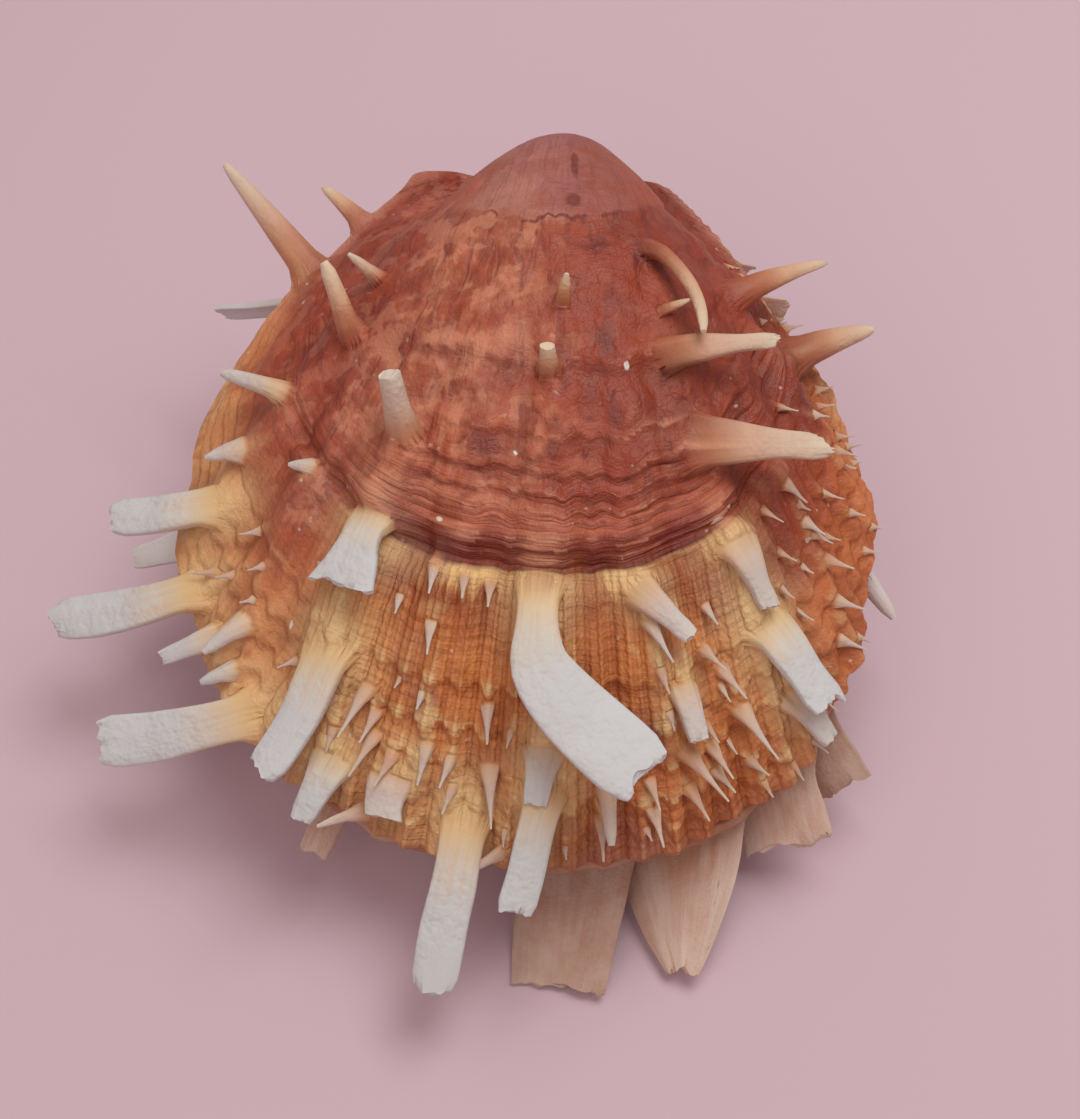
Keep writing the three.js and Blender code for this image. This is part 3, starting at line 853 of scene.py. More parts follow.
class Sketch:
    """Small helper that places shader nodes and joins them."""

    def __init__(self, tree: bpy.types.NodeTree) -> None:
        """Keeps the tree that nodes go into."""
        self.tree = tree

    def node(self, kind: str, **settings: object) -> bpy.types.Node:
        """Adds a node.

        Args:
            kind: the node's type.
            settings: its plain properties.

        Returns:
            The node.
        """
        made = self.tree.nodes.new(kind)
        for name, value in settings.items():
            setattr(made, name, value)
        return made

    def put(self, socket: Socket, value: object) -> None:
        """Joins an output to a socket, or sets the socket's own value.

        Args:
            socket: where the value goes.
            value: an output, a number or a colour.
        """
        if isinstance(value, Socket):
            self.tree.links.new(value, socket)
        elif isinstance(value, tuple) and len(value) == 3 and socket.type == "RGBA":
            socket.default_value = (*value, 1.0)
        else:
            socket.default_value = value

    def attribute(self, name: str) -> Socket:
        """Number stored on the piece's own vertices."""
        return self.node("ShaderNodeAttribute", attribute_name=name).outputs["Fac"]

    def math(self, how: str, first: object, second: object = 0.0, clamp: bool = False) -> Socket:
        """Arithmetic of two values.

        Args:
            how: the kind of arithmetic.
            first: an output or a number.
            second: an output or a number.
            clamp: whether the result stays from 0 to 1.

        Returns:
            The result.
        """
        made = self.node("ShaderNodeMath", operation=how, use_clamp=clamp)
        self.put(made.inputs[0], first)
        self.put(made.inputs[1], second)
        return made.outputs[0]

    def times(self, first: object, *others: object) -> Socket:
        """Product of values.

        Args:
            first: an output or a number.
            others: what it is multiplied by, one after the other.

        Returns:
            The product.
        """
        for other in others:
            first = self.math("MULTIPLY", first, other)
        return first

    def plus(self, first: object, *others: object) -> Socket:
        """Sum of values.

        Args:
            first: an output or a number.
            others: what is added to it, one after the other.

        Returns:
            The sum.
        """
        for other in others:
            first = self.math("ADD", first, other)
        return first

    def minus(self, first: object, second: object) -> Socket:
        """Difference of two values."""
        return self.math("SUBTRACT", first, second)

    def span(self, value: object, low: float, high: float, to_low: float = 0.0,
             to_high: float = 1.0) -> Socket:
        """Soft step of a value from one range to another.

        Args:
            value: an output.
            low: value at which the step starts.
            high: value at which the step ends.
            to_low: result at the start.
            to_high: result at the end.

        Returns:
            The stepped value.
        """
        made = self.node("ShaderNodeMapRange", interpolation_type="SMOOTHSTEP")
        for name, put in (("Value", value), ("From Min", low), ("From Max", high),
                          ("To Min", to_low), ("To Max", to_high)):
            self.put(made.inputs[name], put)
        return made.outputs[0]

    def mix(self, share: object, first: object, second: object, how: str = "MIX") -> Socket:
        """Mix of two colours.

        Args:
            share: how much of the second there is, 0 to 1.
            first: an output or a colour.
            second: an output or a colour.
            how: the kind of mix.

        Returns:
            The mixed colour.
        """
        made = self.node("ShaderNodeMix", data_type="RGBA", blend_type=how)
        self.put(made.inputs[0], share)
        self.put(made.inputs[6], first)
        self.put(made.inputs[7], second)
        return made.outputs[2]

    def shade(self, share: object, colour: object, tint: Colour) -> Socket:
        """Colour made darker by a tint, by a share."""
        return self.mix(share, colour, self.mix(1.0, colour, tint, "MULTIPLY"))

    def ramp(self, value: object, stops: Stops) -> Socket:
        """Colours along a value.

        Args:
            value: an output from 0 to 1.
            stops: values with their colours, in order.

        Returns:
            The colour.
        """
        made = self.node("ShaderNodeValToRGB")
        elements = made.color_ramp.elements
        while len(elements) < len(stops):
            elements.new(0.5)
        for element, (place, _) in zip(elements, stops):
            element.position = place
        for element, (_, colour) in zip(elements, stops):
            element.color = (*colour, 1.0)
        self.put(made.inputs[0], value)
        return made.outputs[0]

    def noise(self, vector: object, scale: object, detail: float = 3.0, rough: float = 0.55) -> Socket:
        """Cloudy noise over a place.

        Args:
            vector: the place.
            scale: how fine it is.
            detail: number of finer layers.
            rough: strength of the finer layers.

        Returns:
            The noise, about 0.5 on average.
        """
        made = self.node("ShaderNodeTexNoise")
        for name, value in (("Vector", vector), ("Scale", scale), ("Detail", detail), ("Roughness", rough)):
            self.put(made.inputs[name], value)
        return made.outputs[0]

    def place(self) -> Socket:
        """Place on the piece in its own coordinates."""
        return self.node("ShaderNodeTexCoord").outputs["Object"]

    def combine(self, x: object, y: object, z: object = 0.0) -> Socket:
        """Vector from three values.

        Args:
            x: first value.
            y: second value.
            z: third value.

        Returns:
            The vector.
        """
        made = self.node("ShaderNodeCombineXYZ")
        for socket, value in zip(made.inputs, (x, y, z)):
            self.put(socket, value)
        return made.outputs[0]

    def bump(self, shader: bpy.types.Node, tall: object, strength: float, depth: float) -> None:
        """Lets a height catch the light on a shader.

        Args:
            shader: the shader.
            tall: the height, 0 to 1.
            strength: share of the effect.
            depth: height that 1 stands for, in metres.
        """
        made = self.node("ShaderNodeBump")
        made.inputs["Strength"].default_value = strength
        made.inputs["Distance"].default_value = depth
        self.put(made.inputs["Height"], tall)
        self.put(shader.inputs["Normal"], made.outputs[0])


@dataclass
class GrowthMarks:
    """Shared node group: growth lines, rays, beads and clouds that follow a valve's growth."""

    group: Optional[bpy.types.NodeTree] = None
    riblets: float = 12.0
    knots: float = 85.0
    given: tuple[str, ...] = ("Lines", "Rays", "Cloud")
    results: tuple[str, ...] = ("Line", "Ray", "Cloud", "Patch", "Mottle", "Streak", "Hair", "SpeckGlint",
                                "Bead", "Fibre", "Grain")

    def tree(self) -> bpy.types.NodeTree:
        """Builds the group when it is first asked for.

        Returns:
            The group.
        """
        if self.group is not None:
            return self.group
        tree = bpy.data.node_groups.new("growth_marks", "ShaderNodeTree")
        for name in self.given:
            tree.interface.new_socket(name, in_out="INPUT", socket_type="NodeSocketFloat")
        for name in self.results:
            tree.interface.new_socket(name, in_out="OUTPUT", socket_type="NodeSocketFloat")
        sketch = Sketch(tree)
        given = sketch.node("NodeGroupInput").outputs
        result = sketch.node("NodeGroupOutput").inputs
        age, rib, waved = (sketch.attribute(name) for name in ("age", "rib", "stage"))
        place = sketch.place()
        along, across = sketch.times(waved, given["Lines"]), sketch.times(rib, given["Rays"])
        line = sketch.noise(sketch.combine(along, sketch.times(rib, 0.7)), 1.0, 2.0, 0.65)
        ray = sketch.noise(sketch.combine(across, sketch.times(age, 3.0)), 1.0, 2.0, 0.6)
        fibre = sketch.combine(sketch.times(sketch.attribute("root_p"), 3.5),
                               sketch.attribute("spine"), sketch.attribute("owner"))
        made = (
            sketch.span(line, 0.36, 0.66),
            sketch.span(ray, 0.38, 0.66),
            sketch.span(sketch.noise(place, given["Cloud"], 4.0, 0.68), 0.36, 0.66),
            sketch.span(sketch.noise(place, 62.0, 3.0, 0.52), 0.36, 0.66),
            sketch.span(sketch.noise(place, 260.0, 2.0, 0.6), 0.4, 0.66),
            self._drawn(sketch, age, rib, (17.0, 3.6), (0.5, 0.66)),
            self._drawn(sketch, age, rib, (9.0, 30.0), (0.4, 0.66)),
            sketch.span(sketch.noise(place, 620.0, 1.0, 0.5), 0.75, 0.8),
            self._beads(sketch, waved, rib),
            sketch.span(sketch.noise(fibre, 1.3, 2.0, 0.6), 0.35, 0.68),
            sketch.noise(place, 2200.0, 2.0, 0.6),
        )
        for name, value in zip(self.results, made):
            sketch.put(result[name], value)
        self.group = tree
        return tree

    def _drawn(self, sketch: Sketch, age: Socket, rib: Socket, scale: tuple[float, float],
               limits: tuple[float, float]) -> Socket:
        """Noise drawn out along the ribs.

        Args:
            sketch: helper for the group's nodes.
            age: share of the growth.
            rib: place across the ribs.
            scale: fineness along and across the ribs.
            limits: noise values that become 0 and 1.

        Returns:
            The drawn-out noise, 0 to 1.
        """
        along, across = sketch.times(age, scale[0]), sketch.times(rib, scale[1])
        grown = sketch.noise(sketch.combine(across, along), 1.0, 2.0, 0.55)
        grown.node.inputs["Distortion"].default_value = 0.8
        return sketch.span(grown, *limits)

    def _beads(self, sketch: Sketch, age: Socket, rib: Socket) -> Socket:
        """Rows of fine beads on the riblets.

        Args:
            sketch: helper for the group's nodes.
            age: share of the growth.
            rib: place across the ribs.

        Returns:
            0 between the beads and 1 on top of them.
        """
        lines = sketch.math("COSINE", sketch.times(rib, 2 * math.pi * self.riblets))
        knots = sketch.math("COSINE", sketch.times(age, 2 * math.pi * self.knots))
        return sketch.span(sketch.plus(sketch.times(lines, 0.7), sketch.times(knots, 0.3)), -0.6, 0.8)

    def use(self, sketch: Sketch, fineness: tuple[float, float, float]) -> Marks:
        """Places the group in a material.

        Args:
            sketch: helper for the material's nodes.
            fineness: number of growth lines, rays between ribs and clouds in a metre.

        Returns:
            The group's outputs.
        """
        made = sketch.node("ShaderNodeGroup", node_tree=self.tree())
        for name, value in zip(self.given, fineness):
            made.inputs[name].default_value = value
        return made.outputs


MARKS = GrowthMarks()


def new_material(name: str) -> tuple[bpy.types.Material, Sketch, bpy.types.Node]:
    """Makes a material with a principled shader.

    Args:
        name: the material's name.

    Returns:
        The material, a helper for its nodes and its shader node.
    """
    material = bpy.data.materials.new(name)
    material.use_nodes = True
    material.node_tree.nodes.clear()
    sketch = Sketch(material.node_tree)
    shader = sketch.node("ShaderNodeBsdfPrincipled")
    output = sketch.node("ShaderNodeOutputMaterial")
    sketch.put(output.inputs["Surface"], shader.outputs[0])
    return material, sketch, shader


@dataclass(frozen=True)
class SkinPlace:
    """Where on the upper valve a spot of skin is, as values in a material."""

    age: Socket
    rib: Socket
    crest: Socket
    waved: Socket
    aside: Socket
    away: Socket
    new: Socket

    @classmethod
    def of(cls, sketch: Sketch) -> "SkinPlace":
        """Works the values out from what the skin's vertices hold.

        Args:
            sketch: helper for the material's nodes.

        Returns:
            The values.
        """
        age, rib, crest = (sketch.attribute(name) for name in ("age", "rib", "crest"))
        drips = sketch.noise(sketch.combine(sketch.times(rib, 9.0), age), 1.0, 2.0)
        drips = sketch.times(sketch.minus(drips, 0.42), sketch.span(age, 0.705, 0.73, 0.0, 0.09))
        waved = sketch.plus(sketch.attribute("stage"), drips)
        aside = sketch.math("ABSOLUTE", sketch.plus(rib, 0.1))
        return cls(age, rib, crest, waved, aside, sketch.span(aside, 1.7, 2.7), sketch.span(age, 0.7, 0.74))


@dataclass(frozen=True)
class UpperFinish:
    """Red-brown valve with a worn mauve beak, a great ledge whose dark face is painted shadow, rust new
    growth and white spines.
    """

    name: str = "upper_shell"
    roughness: float = 0.4
    shine: float = 0.33
    bump_strength: float = 0.6
    bump_depth: float = 0.0007
    fineness: tuple[float, float, float] = (130.0, 6.0, 110.0)
    growth_colours: Stops = (
        (0.0, (0.36, 0.125, 0.115)),
        (0.318, (0.38, 0.135, 0.12)),
        (0.338, (0.47, 0.125, 0.06)),
        (0.495, (0.46, 0.095, 0.04)),
        (0.504, (0.28, 0.06, 0.04)),
        (0.514, (0.46, 0.095, 0.04)),
        (0.60, (0.54, 0.135, 0.06)),
        (0.668, (0.56, 0.15, 0.08)),
        # from here to the yellow band, the layered face of the great ledge is painted dark as the shadow
        # under its overhang
        (0.677, (0.32, 0.065, 0.042)),
        (0.685, (0.26, 0.042, 0.034)),
        (0.701, (0.28, 0.046, 0.034)),
        (0.708, (0.15, 0.024, 0.017)),
        (0.713, (0.86, 0.55, 0.24)),
        (0.734, (0.80, 0.45, 0.18)),
        (0.748, (0.40, 0.10, 0.032)),
        (0.772, (0.54, 0.165, 0.05)),
        (0.80, (0.64, 0.22, 0.062)),
        (0.90, (0.62, 0.20, 0.056)),
        (0.985, (0.60, 0.21, 0.07)),
        (1.0, (0.52, 0.19, 0.08)),
    )
    side_colours: Stops = (
        (0.0, (0.38, 0.115, 0.085)),
        (0.3, (0.46, 0.115, 0.06)),
        (0.6, (0.47, 0.09, 0.035)),
        (0.78, (0.52, 0.11, 0.036)),
        (0.88, (0.58, 0.16, 0.052)),
        (1.0, (0.62, 0.20, 0.075)),
    )
    white_spine: Stops = (
        (0.0, (0.70, 0.43, 0.17)),
        (0.1, (0.70, 0.51, 0.28)),
        (0.28, (0.65, 0.595, 0.51)),
        (0.54, (0.605, 0.605, 0.60)),
    )
    ochre_spine: Stops = (
        (0.0, (0.48, 0.16, 0.065)),
        (0.3, (0.58, 0.25, 0.12)),
        (0.65, (0.66, 0.39, 0.22)),
        (1.0, (0.74, 0.56, 0.38)),
    )
    cream: Colour = (0.82, 0.57, 0.27)
    maroon: Colour = (0.22, 0.042, 0.024)
    rust_and_groove_shade: Colour = (0.34, 0.075, 0.022)
    peach: Colour = (0.70, 0.285, 0.165)
    orange: Colour = (0.70, 0.34, 0.14)
    chalk: Colour = (0.80, 0.74, 0.66)
    mauve: Colour = (0.50, 0.185, 0.145)
    russet: Colour = (0.34, 0.052, 0.022)
    plum: Colour = (0.17, 0.03, 0.02)
    smoke: Colour = (0.42, 0.20, 0.15)
    # what darkens the growth lines, the hollows between the beads as painted shade, the hair lines and the
    # dusty spines
    line_shade: Colour = (0.45, 0.3, 0.32)
    bead_shade: Colour = (0.5, 0.36, 0.3)
    hair_shade: Colour = (0.55, 0.42, 0.42)
    dust_shade: Colour = (0.88, 0.84, 0.79)

    def build(self) -> bpy.types.Material:
        """Makes the material.

        Returns:
            The material.
        """
        material, sketch, shader = new_material(self.name)
        marks = MARKS.use(sketch, self.fineness)
        spine, white = sketch.attribute("spine"), sketch.attribute("white")
        tip = sketch.mix(white, sketch.ramp(spine, self.ochre_spine), sketch.ramp(spine, self.white_spine))
        streak = sketch.times(marks["Fibre"], sketch.span(spine, 0.1, 0.7, 0.3, 0.03))
        tip = sketch.mix(streak, tip, self.orange)
        tip = sketch.shade(sketch.times(marks["Cloud"], 0.25), tip, self.dust_shade)
        cover = sketch.math("DIVIDE", spine, sketch.span(white, 0.0, 0.7, 0.5, 0.14), clamp=True)
        sketch.put(shader.inputs["Base Color"], sketch.mix(cover, self._skin(sketch, marks), tip))
        shader.inputs["Specular IOR Level"].default_value = self.shine
        rough = sketch.plus(self.roughness, sketch.times(marks["Cloud"], 0.18),
                            sketch.span(spine, 0.1, 0.4, 0.0, 0.25))
        sketch.put(shader.inputs["Roughness"], rough)
        sketch.bump(shader, self._height(sketch, marks), self.bump_strength, self.bump_depth)
        return material

    def _skin(self, sketch: Sketch, marks: Marks) -> Socket:
        """Colour of the skin between the spines, laid on layer by layer.

        Args:
            sketch: helper for the material's nodes.
            marks: outputs of the shared marks.

        Returns:
            The colour.
        """
        at = SkinPlace.of(sketch)
        jag = sketch.noise(sketch.combine(sketch.times(at.rib, 1.3), sketch.times(at.age, 14.0)), 1.0, 3.0)
        worn = sketch.plus(at.waved, sketch.times(sketch.minus(jag, 0.5), 0.06))
        old = sketch.math("MAXIMUM", sketch.span(at.waved, LEDGE_LIP, 0.63),
                          sketch.times(at.away, sketch.span(at.age, 0.9, 0.74)))
        old = sketch.times(old, sketch.span(worn, BEAK_SCAR - 0.012, BEAK_SCAR + 0.008, 0.3, 1.0))
        colour = self._mottle(sketch, marks, self._ground(sketch, marks, at), old, at.rib)
        scar = sketch.times(sketch.span(worn, BEAK_SCAR - 0.0065, BEAK_SCAR - 0.003),
                            sketch.span(worn, BEAK_SCAR + 0.0025, BEAK_SCAR - 0.001),
                            sketch.span(marks["Cloud"], 0.2, 0.6, 0.1, 0.85), sketch.span(at.aside, 2.3, 1.3))
        colour = sketch.mix(scar, colour, self.plum)
        colour = self._ribs(sketch, marks, colour, at)
        return self._specks(sketch, marks, colour, at)

    def _ground(self, sketch: Sketch, marks: Marks, at: SkinPlace) -> Socket:
        """Colours of the growth, with the yellow band broken up and the left flank orange.

        Args:
            sketch: helper for the material's nodes.
            marks: outputs of the shared marks.
            at: where the spot is.

        Returns:
            The colour.
        """
        colour = sketch.mix(at.away, sketch.ramp(at.waved, self.growth_colours),
                            sketch.ramp(at.waved, self.side_colours))
        colour = sketch.mix(sketch.span(at.aside, 5.0, 6.4, 0.0, 0.85), colour, self.mauve)
        gaps = sketch.noise(sketch.combine(sketch.times(at.rib, 1.9), sketch.times(at.age, 5.0)), 1.0, 2.0)
        band = sketch.times(sketch.span(at.waved, LEDGE_FOOT, LEDGE_FOOT + 0.003),
                            sketch.span(at.waved, LEDGE_FOOT + 0.042, LEDGE_FOOT + 0.032),
                            sketch.span(gaps, 0.54, 0.44, 0.0, 0.75))
        colour = sketch.mix(band, colour, self.rust_and_groove_shade)
        left = sketch.times(sketch.span(at.rib, -2.0, -3.2), sketch.span(at.age, 0.77, 0.87),
                            sketch.span(at.rib, -6.4, -5.2), sketch.span(marks["Patch"], 0.0, 1.0, 0.4, 0.95))
        return sketch.mix(left, colour, self.orange)

    def _mottle(self, sketch: Sketch, marks: Marks, colour: Socket, old: Socket, rib: Socket) -> Socket:
        """Peach, mauve and dark blotches of the worn old skin, and rust ones of the new.

        Args:
            sketch: helper for the material's nodes.
            marks: outputs of the shared marks.
            colour: the colour to lay the blotches over.
            old: where the skin is old, 0 to 1.
            rib: place across the ribs.

        Returns:
            The blotched colour.
        """
        patch, mottle = marks["Patch"], marks["Mottle"]
        bright = sketch.times(old, sketch.span(rib, -1.2, 0.7, 1.0, 0.2),
                              sketch.span(rib, -2.4, -4.0, 1.0, 0.5))
        dark = sketch.plus(sketch.minus(1.0, marks["Cloud"]), sketch.span(rib, -0.6, 1.2, 0.0, 0.3))
        red = sketch.math("MAXIMUM", sketch.span(rib, -0.5, 1.1, 0.0, 0.88),
                          sketch.span(rib, -2.6, -3.6, 0.0, 0.65))
        for share, tint in (
            (sketch.times(marks["Ray"], bright, 0.5), self.peach),
            (sketch.times(patch, bright, 0.6), self.peach),
            (sketch.times(patch, old, sketch.span(rib, -2.2, -4.5, 0.0, 0.6)), self.mauve),
            (sketch.times(dark, old, 0.65), self.maroon),
            (sketch.times(red, old), self.russet),
            (sketch.times(patch, old, sketch.span(rib, 0.3, 1.5, 0.0, 0.55)), self.plum),
            (sketch.times(marks["Streak"], old, 0.6), self.plum),
            (sketch.times(mottle, mottle, old, 0.6), self.russet),
            (sketch.times(sketch.span(mottle, 0.25, 0.0), bright, 0.4), self.peach),
        ):
            colour = sketch.mix(share, colour, tint)
        hair = sketch.times(marks["Hair"], sketch.span(sketch.attribute("age"), 0.3, 0.36, 0.12, 0.04))
        colour = sketch.shade(hair, colour, self.hair_shade)
        young = sketch.minus(1.0, old)
        fresh = sketch.times(young, sketch.span(marks["Cloud"], 0.6, 0.05, 0.0, 0.55))
        colour = sketch.mix(fresh, colour, self.rust_and_groove_shade)
        return sketch.mix(sketch.times(young, sketch.span(patch, 0.7, 1.0, 0.0, 0.4)), colour, self.smoke)

    def _ribs(self, sketch: Sketch, marks: Marks, colour: Socket, at: SkinPlace) -> Socket:
        """Painted shade in the grooves and between the beads, pale ridges that are partly painted highlight,
        and growth lines.

        Args:
            sketch: helper for the material's nodes.
            marks: outputs of the shared marks.
            colour: the colour to lay them over.
            at: where the spot is.

        Returns:
            The ribbed colour.
        """
        # the grooves are darkened as painted shade, and the ridges are lightened, partly as painted highlight
        groove = sketch.times(sketch.span(at.crest, 0.15, -0.9), sketch.span(at.age, 0.3, 0.5, 0.0, 0.6))
        colour = sketch.mix(groove, colour, sketch.mix(at.new, self.maroon, self.rust_and_groove_shade))
        ridge = sketch.times(sketch.span(at.crest, 0.35, 1.3), sketch.span(at.age, 0.3, 0.75, 0.2, 0.75),
                             sketch.span(at.aside, 1.9, 2.8, 1.0, 0.3))
        colour = sketch.mix(ridge, colour, sketch.mix(at.new, self.peach, self.cream))
        layered = sketch.times(sketch.span(at.age, 0.6, 0.68),
                               sketch.span(at.waved, LEDGE_FOOT + 0.002, LEDGE_FOOT - 0.004),
                               sketch.span(at.aside, 1.8, 2.7, 0.45, 0.08))
        lines = sketch.times(marks["Line"], sketch.plus(layered, 0.08))
        colour = sketch.shade(lines, colour, self.line_shade)
        # the hollows between the beads are darkened as painted shade
        beads = sketch.times(sketch.minus(1.0, marks["Bead"]), at.new,
                             sketch.span(at.aside, 1.9, 2.6, 0.22, 0.05))
        return sketch.shade(beads, colour, self.bead_shade)

    def _specks(self, sketch: Sketch, marks: Marks, colour: Socket, at: SkinPlace) -> Socket:
        """Pale fringe, specks that are partly painted glints, flecks with some painted shadow, and the ring
        round each spine's root.

        Args:
            sketch: helper for the material's nodes.
            marks: outputs of the shared marks.
            colour: the colour to lay them over.
            at: where the spot is.

        Returns:
            The finished colour of the skin.
        """
        fringe = sketch.times(sketch.span(at.aside, 4.2, 5.4), sketch.span(at.age, 0.9, 0.97, 0.0, 0.5),
                              sketch.span(marks["Mottle"], 0.0, 1.0, 0.3, 1.0))
        colour = sketch.mix(fringe, colour, self.cream)
        # pale chalk specks, partly painted glints on the new growth
        salt = sketch.times(marks["SpeckGlint"], sketch.span(at.age, 0.36, 0.7, 0.0, 0.45))
        colour = sketch.mix(salt, colour, self.chalk)
        # dark flecks in plum; those in front of the middle stub are painted shadow
        fleck = sketch.attribute("fleck")
        ragged = sketch.plus(fleck, sketch.times(sketch.minus(marks["Cloud"], 0.5), 0.5))
        colour = sketch.mix(sketch.span(ragged, -0.3, -0.9, 0.0, 0.75), colour, self.plum)
        colour = sketch.mix(sketch.span(fleck, 0.3, 0.6, 0.0, 0.9), colour, self.chalk)
        ring = sketch.times(sketch.attribute("halo"),
                            sketch.span(at.waved, LEDGE_FOOT - 0.002, LEDGE_FOOT + 0.008, 0.12, 0.8))
        return sketch.mix(ring, colour, self.cream)

    def _height(self, sketch: Sketch, marks: Marks) -> Socket:
        """Fine lines, beads and grain that catch the light.

        Args:
            sketch: helper for the material's nodes.
            marks: outputs of the shared marks.

        Returns:
            The height.
        """
        age, spine = sketch.attribute("age"), sketch.attribute("spine")
        aside = sketch.math("ABSOLUTE", sketch.attribute("rib"))
        bare = sketch.span(spine, 0.12, 0.0)
        new = sketch.times(sketch.span(age, 0.68, 0.74), bare)
        worn = sketch.times(sketch.span(age, 0.68, 0.64), bare)
        layered = sketch.times(sketch.span(age, 0.58, 0.68, 0.12, 0.8), bare,
                               sketch.span(age, 0.7, 0.74, 1.0, 0.3), sketch.span(aside, 1.8, 2.8, 1.0, 0.2))
        return sketch.plus(
            sketch.times(marks["Line"], layered),
            sketch.times(marks["Grain"], sketch.span(bare, 0.0, 1.0, 0.12, 0.5)),
            sketch.times(marks["Streak"], worn, -0.2),
            sketch.times(marks["Bead"], new, sketch.span(aside, 1.9, 2.7, 0.55, 0.08)),
            sketch.times(marks["Mottle"], bare, 0.4),
            sketch.times(marks["Fibre"], sketch.span(spine, 0.05, 0.3, 0.0, 0.06)),
            sketch.times(marks["Cloud"], sketch.span(spine, 0.1, 0.4, 0.0, 0.7)),
        )


@dataclass(frozen=True)
class LowerFinish:
    """Pinkish-beige valve in thin layers, browner at the margin, partly as painted shade under the upper
    valve's edge, with a chalky scar.
    """

    name: str = "lower_shell"
    roughness: float = 0.5
    bump_strength: float = 0.5
    bump_depth: float = 0.0004
    fineness: tuple[float, float, float] = (70.0, 9.0, 80.0)
    growth_colours: Stops = (
        (0.0, (0.62, 0.46, 0.34)),
        (0.5, (0.58, 0.36, 0.25)),
        (0.8, (0.55, 0.29, 0.18)),
        # the browner margin is partly painted shade under the upper valve's edge
        (0.94, (0.44, 0.17, 0.075)),
        (1.0, (0.40, 0.145, 0.06)),
    )
    leaf_colours: Stops = (
        (0.0, (0.44, 0.19, 0.11)),
        (0.3, (0.50, 0.255, 0.165)),
        (0.7, (0.56, 0.315, 0.225)),
        (1.0, (0.64, 0.41, 0.31)),
    )
    chalk: Colour = (0.74, 0.64, 0.54)
    brown: Colour = (0.30, 0.12, 0.065)
    white: Colour = (0.70, 0.68, 0.66)

    def build(self) -> bpy.types.Material:
        """Makes the material.

        Returns:
            The material.
        """
        material, sketch, shader = new_material(self.name)
        spine, white = sketch.attribute("spine"), sketch.attribute("white")
        marks = MARKS.use(sketch, self.fineness)
        leaf = sketch.ramp(spine, self.leaf_colours)
        leaf = sketch.mix(sketch.times(marks["Fibre"], 0.35), leaf, self.chalk)
        leaf = sketch.mix(sketch.span(white, 0.6, 0.9), leaf, self.white)
        # a low white browns a leaf; on the first front leaf this brown is painted shade
        leaf = sketch.mix(sketch.span(white, 0.45, 0.1, 0.0, 0.7), leaf, self.brown)
        colour = sketch.ramp(sketch.attribute("age"), self.growth_colours)
        colour = sketch.mix(sketch.span(spine, 0.0, 0.1), colour, leaf)
        lines = sketch.times(marks["Line"], sketch.span(spine, 0.0, 0.1, 0.25, 0.06))
        colour = sketch.mix(lines, colour, self.brown)
        colour = sketch.mix(sketch.times(marks["Cloud"], 0.3), colour, self.chalk)
        colour = sketch.mix(sketch.times(sketch.attribute("scar"), 0.8), colour, self.chalk)
        sketch.put(shader.inputs["Base Color"], colour)
        rough = sketch.plus(self.roughness, sketch.times(marks["Cloud"], 0.15))
        sketch.put(shader.inputs["Roughness"], rough)
        tall = sketch.plus(sketch.times(marks["Line"], sketch.span(spine, 0.0, 0.1, 1.0, 0.15)),
                           sketch.times(marks["Grain"], 0.5))
        sketch.bump(shader, tall, self.bump_strength, self.bump_depth)
        return material


def finish_piece(bm: bmesh.types.BMesh, name: str, material: bpy.types.Material) -> bpy.types.Object:
    """Turns a finished bmesh into a smooth-shaded piece that rides with the shell.

    Args:
        bm: the shape, in metres in the shared frame; it is freed.
        name: the piece's name, the CAD node's name with _skin.
        material: its finish.

    Returns:
        The new object.
    """
    crowded = [f for f in bm.faces if len(f.verts) > 4]
    bmesh.ops.triangulate(bm, faces=crowded)
    mesh = bpy.data.meshes.new(name + "_skin")
    bm.to_mesh(mesh)
    bm.free()
    mesh.polygons.foreach_set("use_smooth", [True] * len(mesh.polygons))
    mesh.set_sharp_from_angle(angle=SHARP_ANGLE)
    mesh.materials.append(material)
    piece = bpy.data.objects.new(name + "_skin", mesh)
    bpy.context.scene.collection.objects.link(piece)
    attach(piece, "root")
    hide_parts(name)
    triangles = sum(len(p.vertices) - 2 for p in mesh.polygons)
    LOG.info("%s: %d triangles", piece.name, triangles)
    return piece


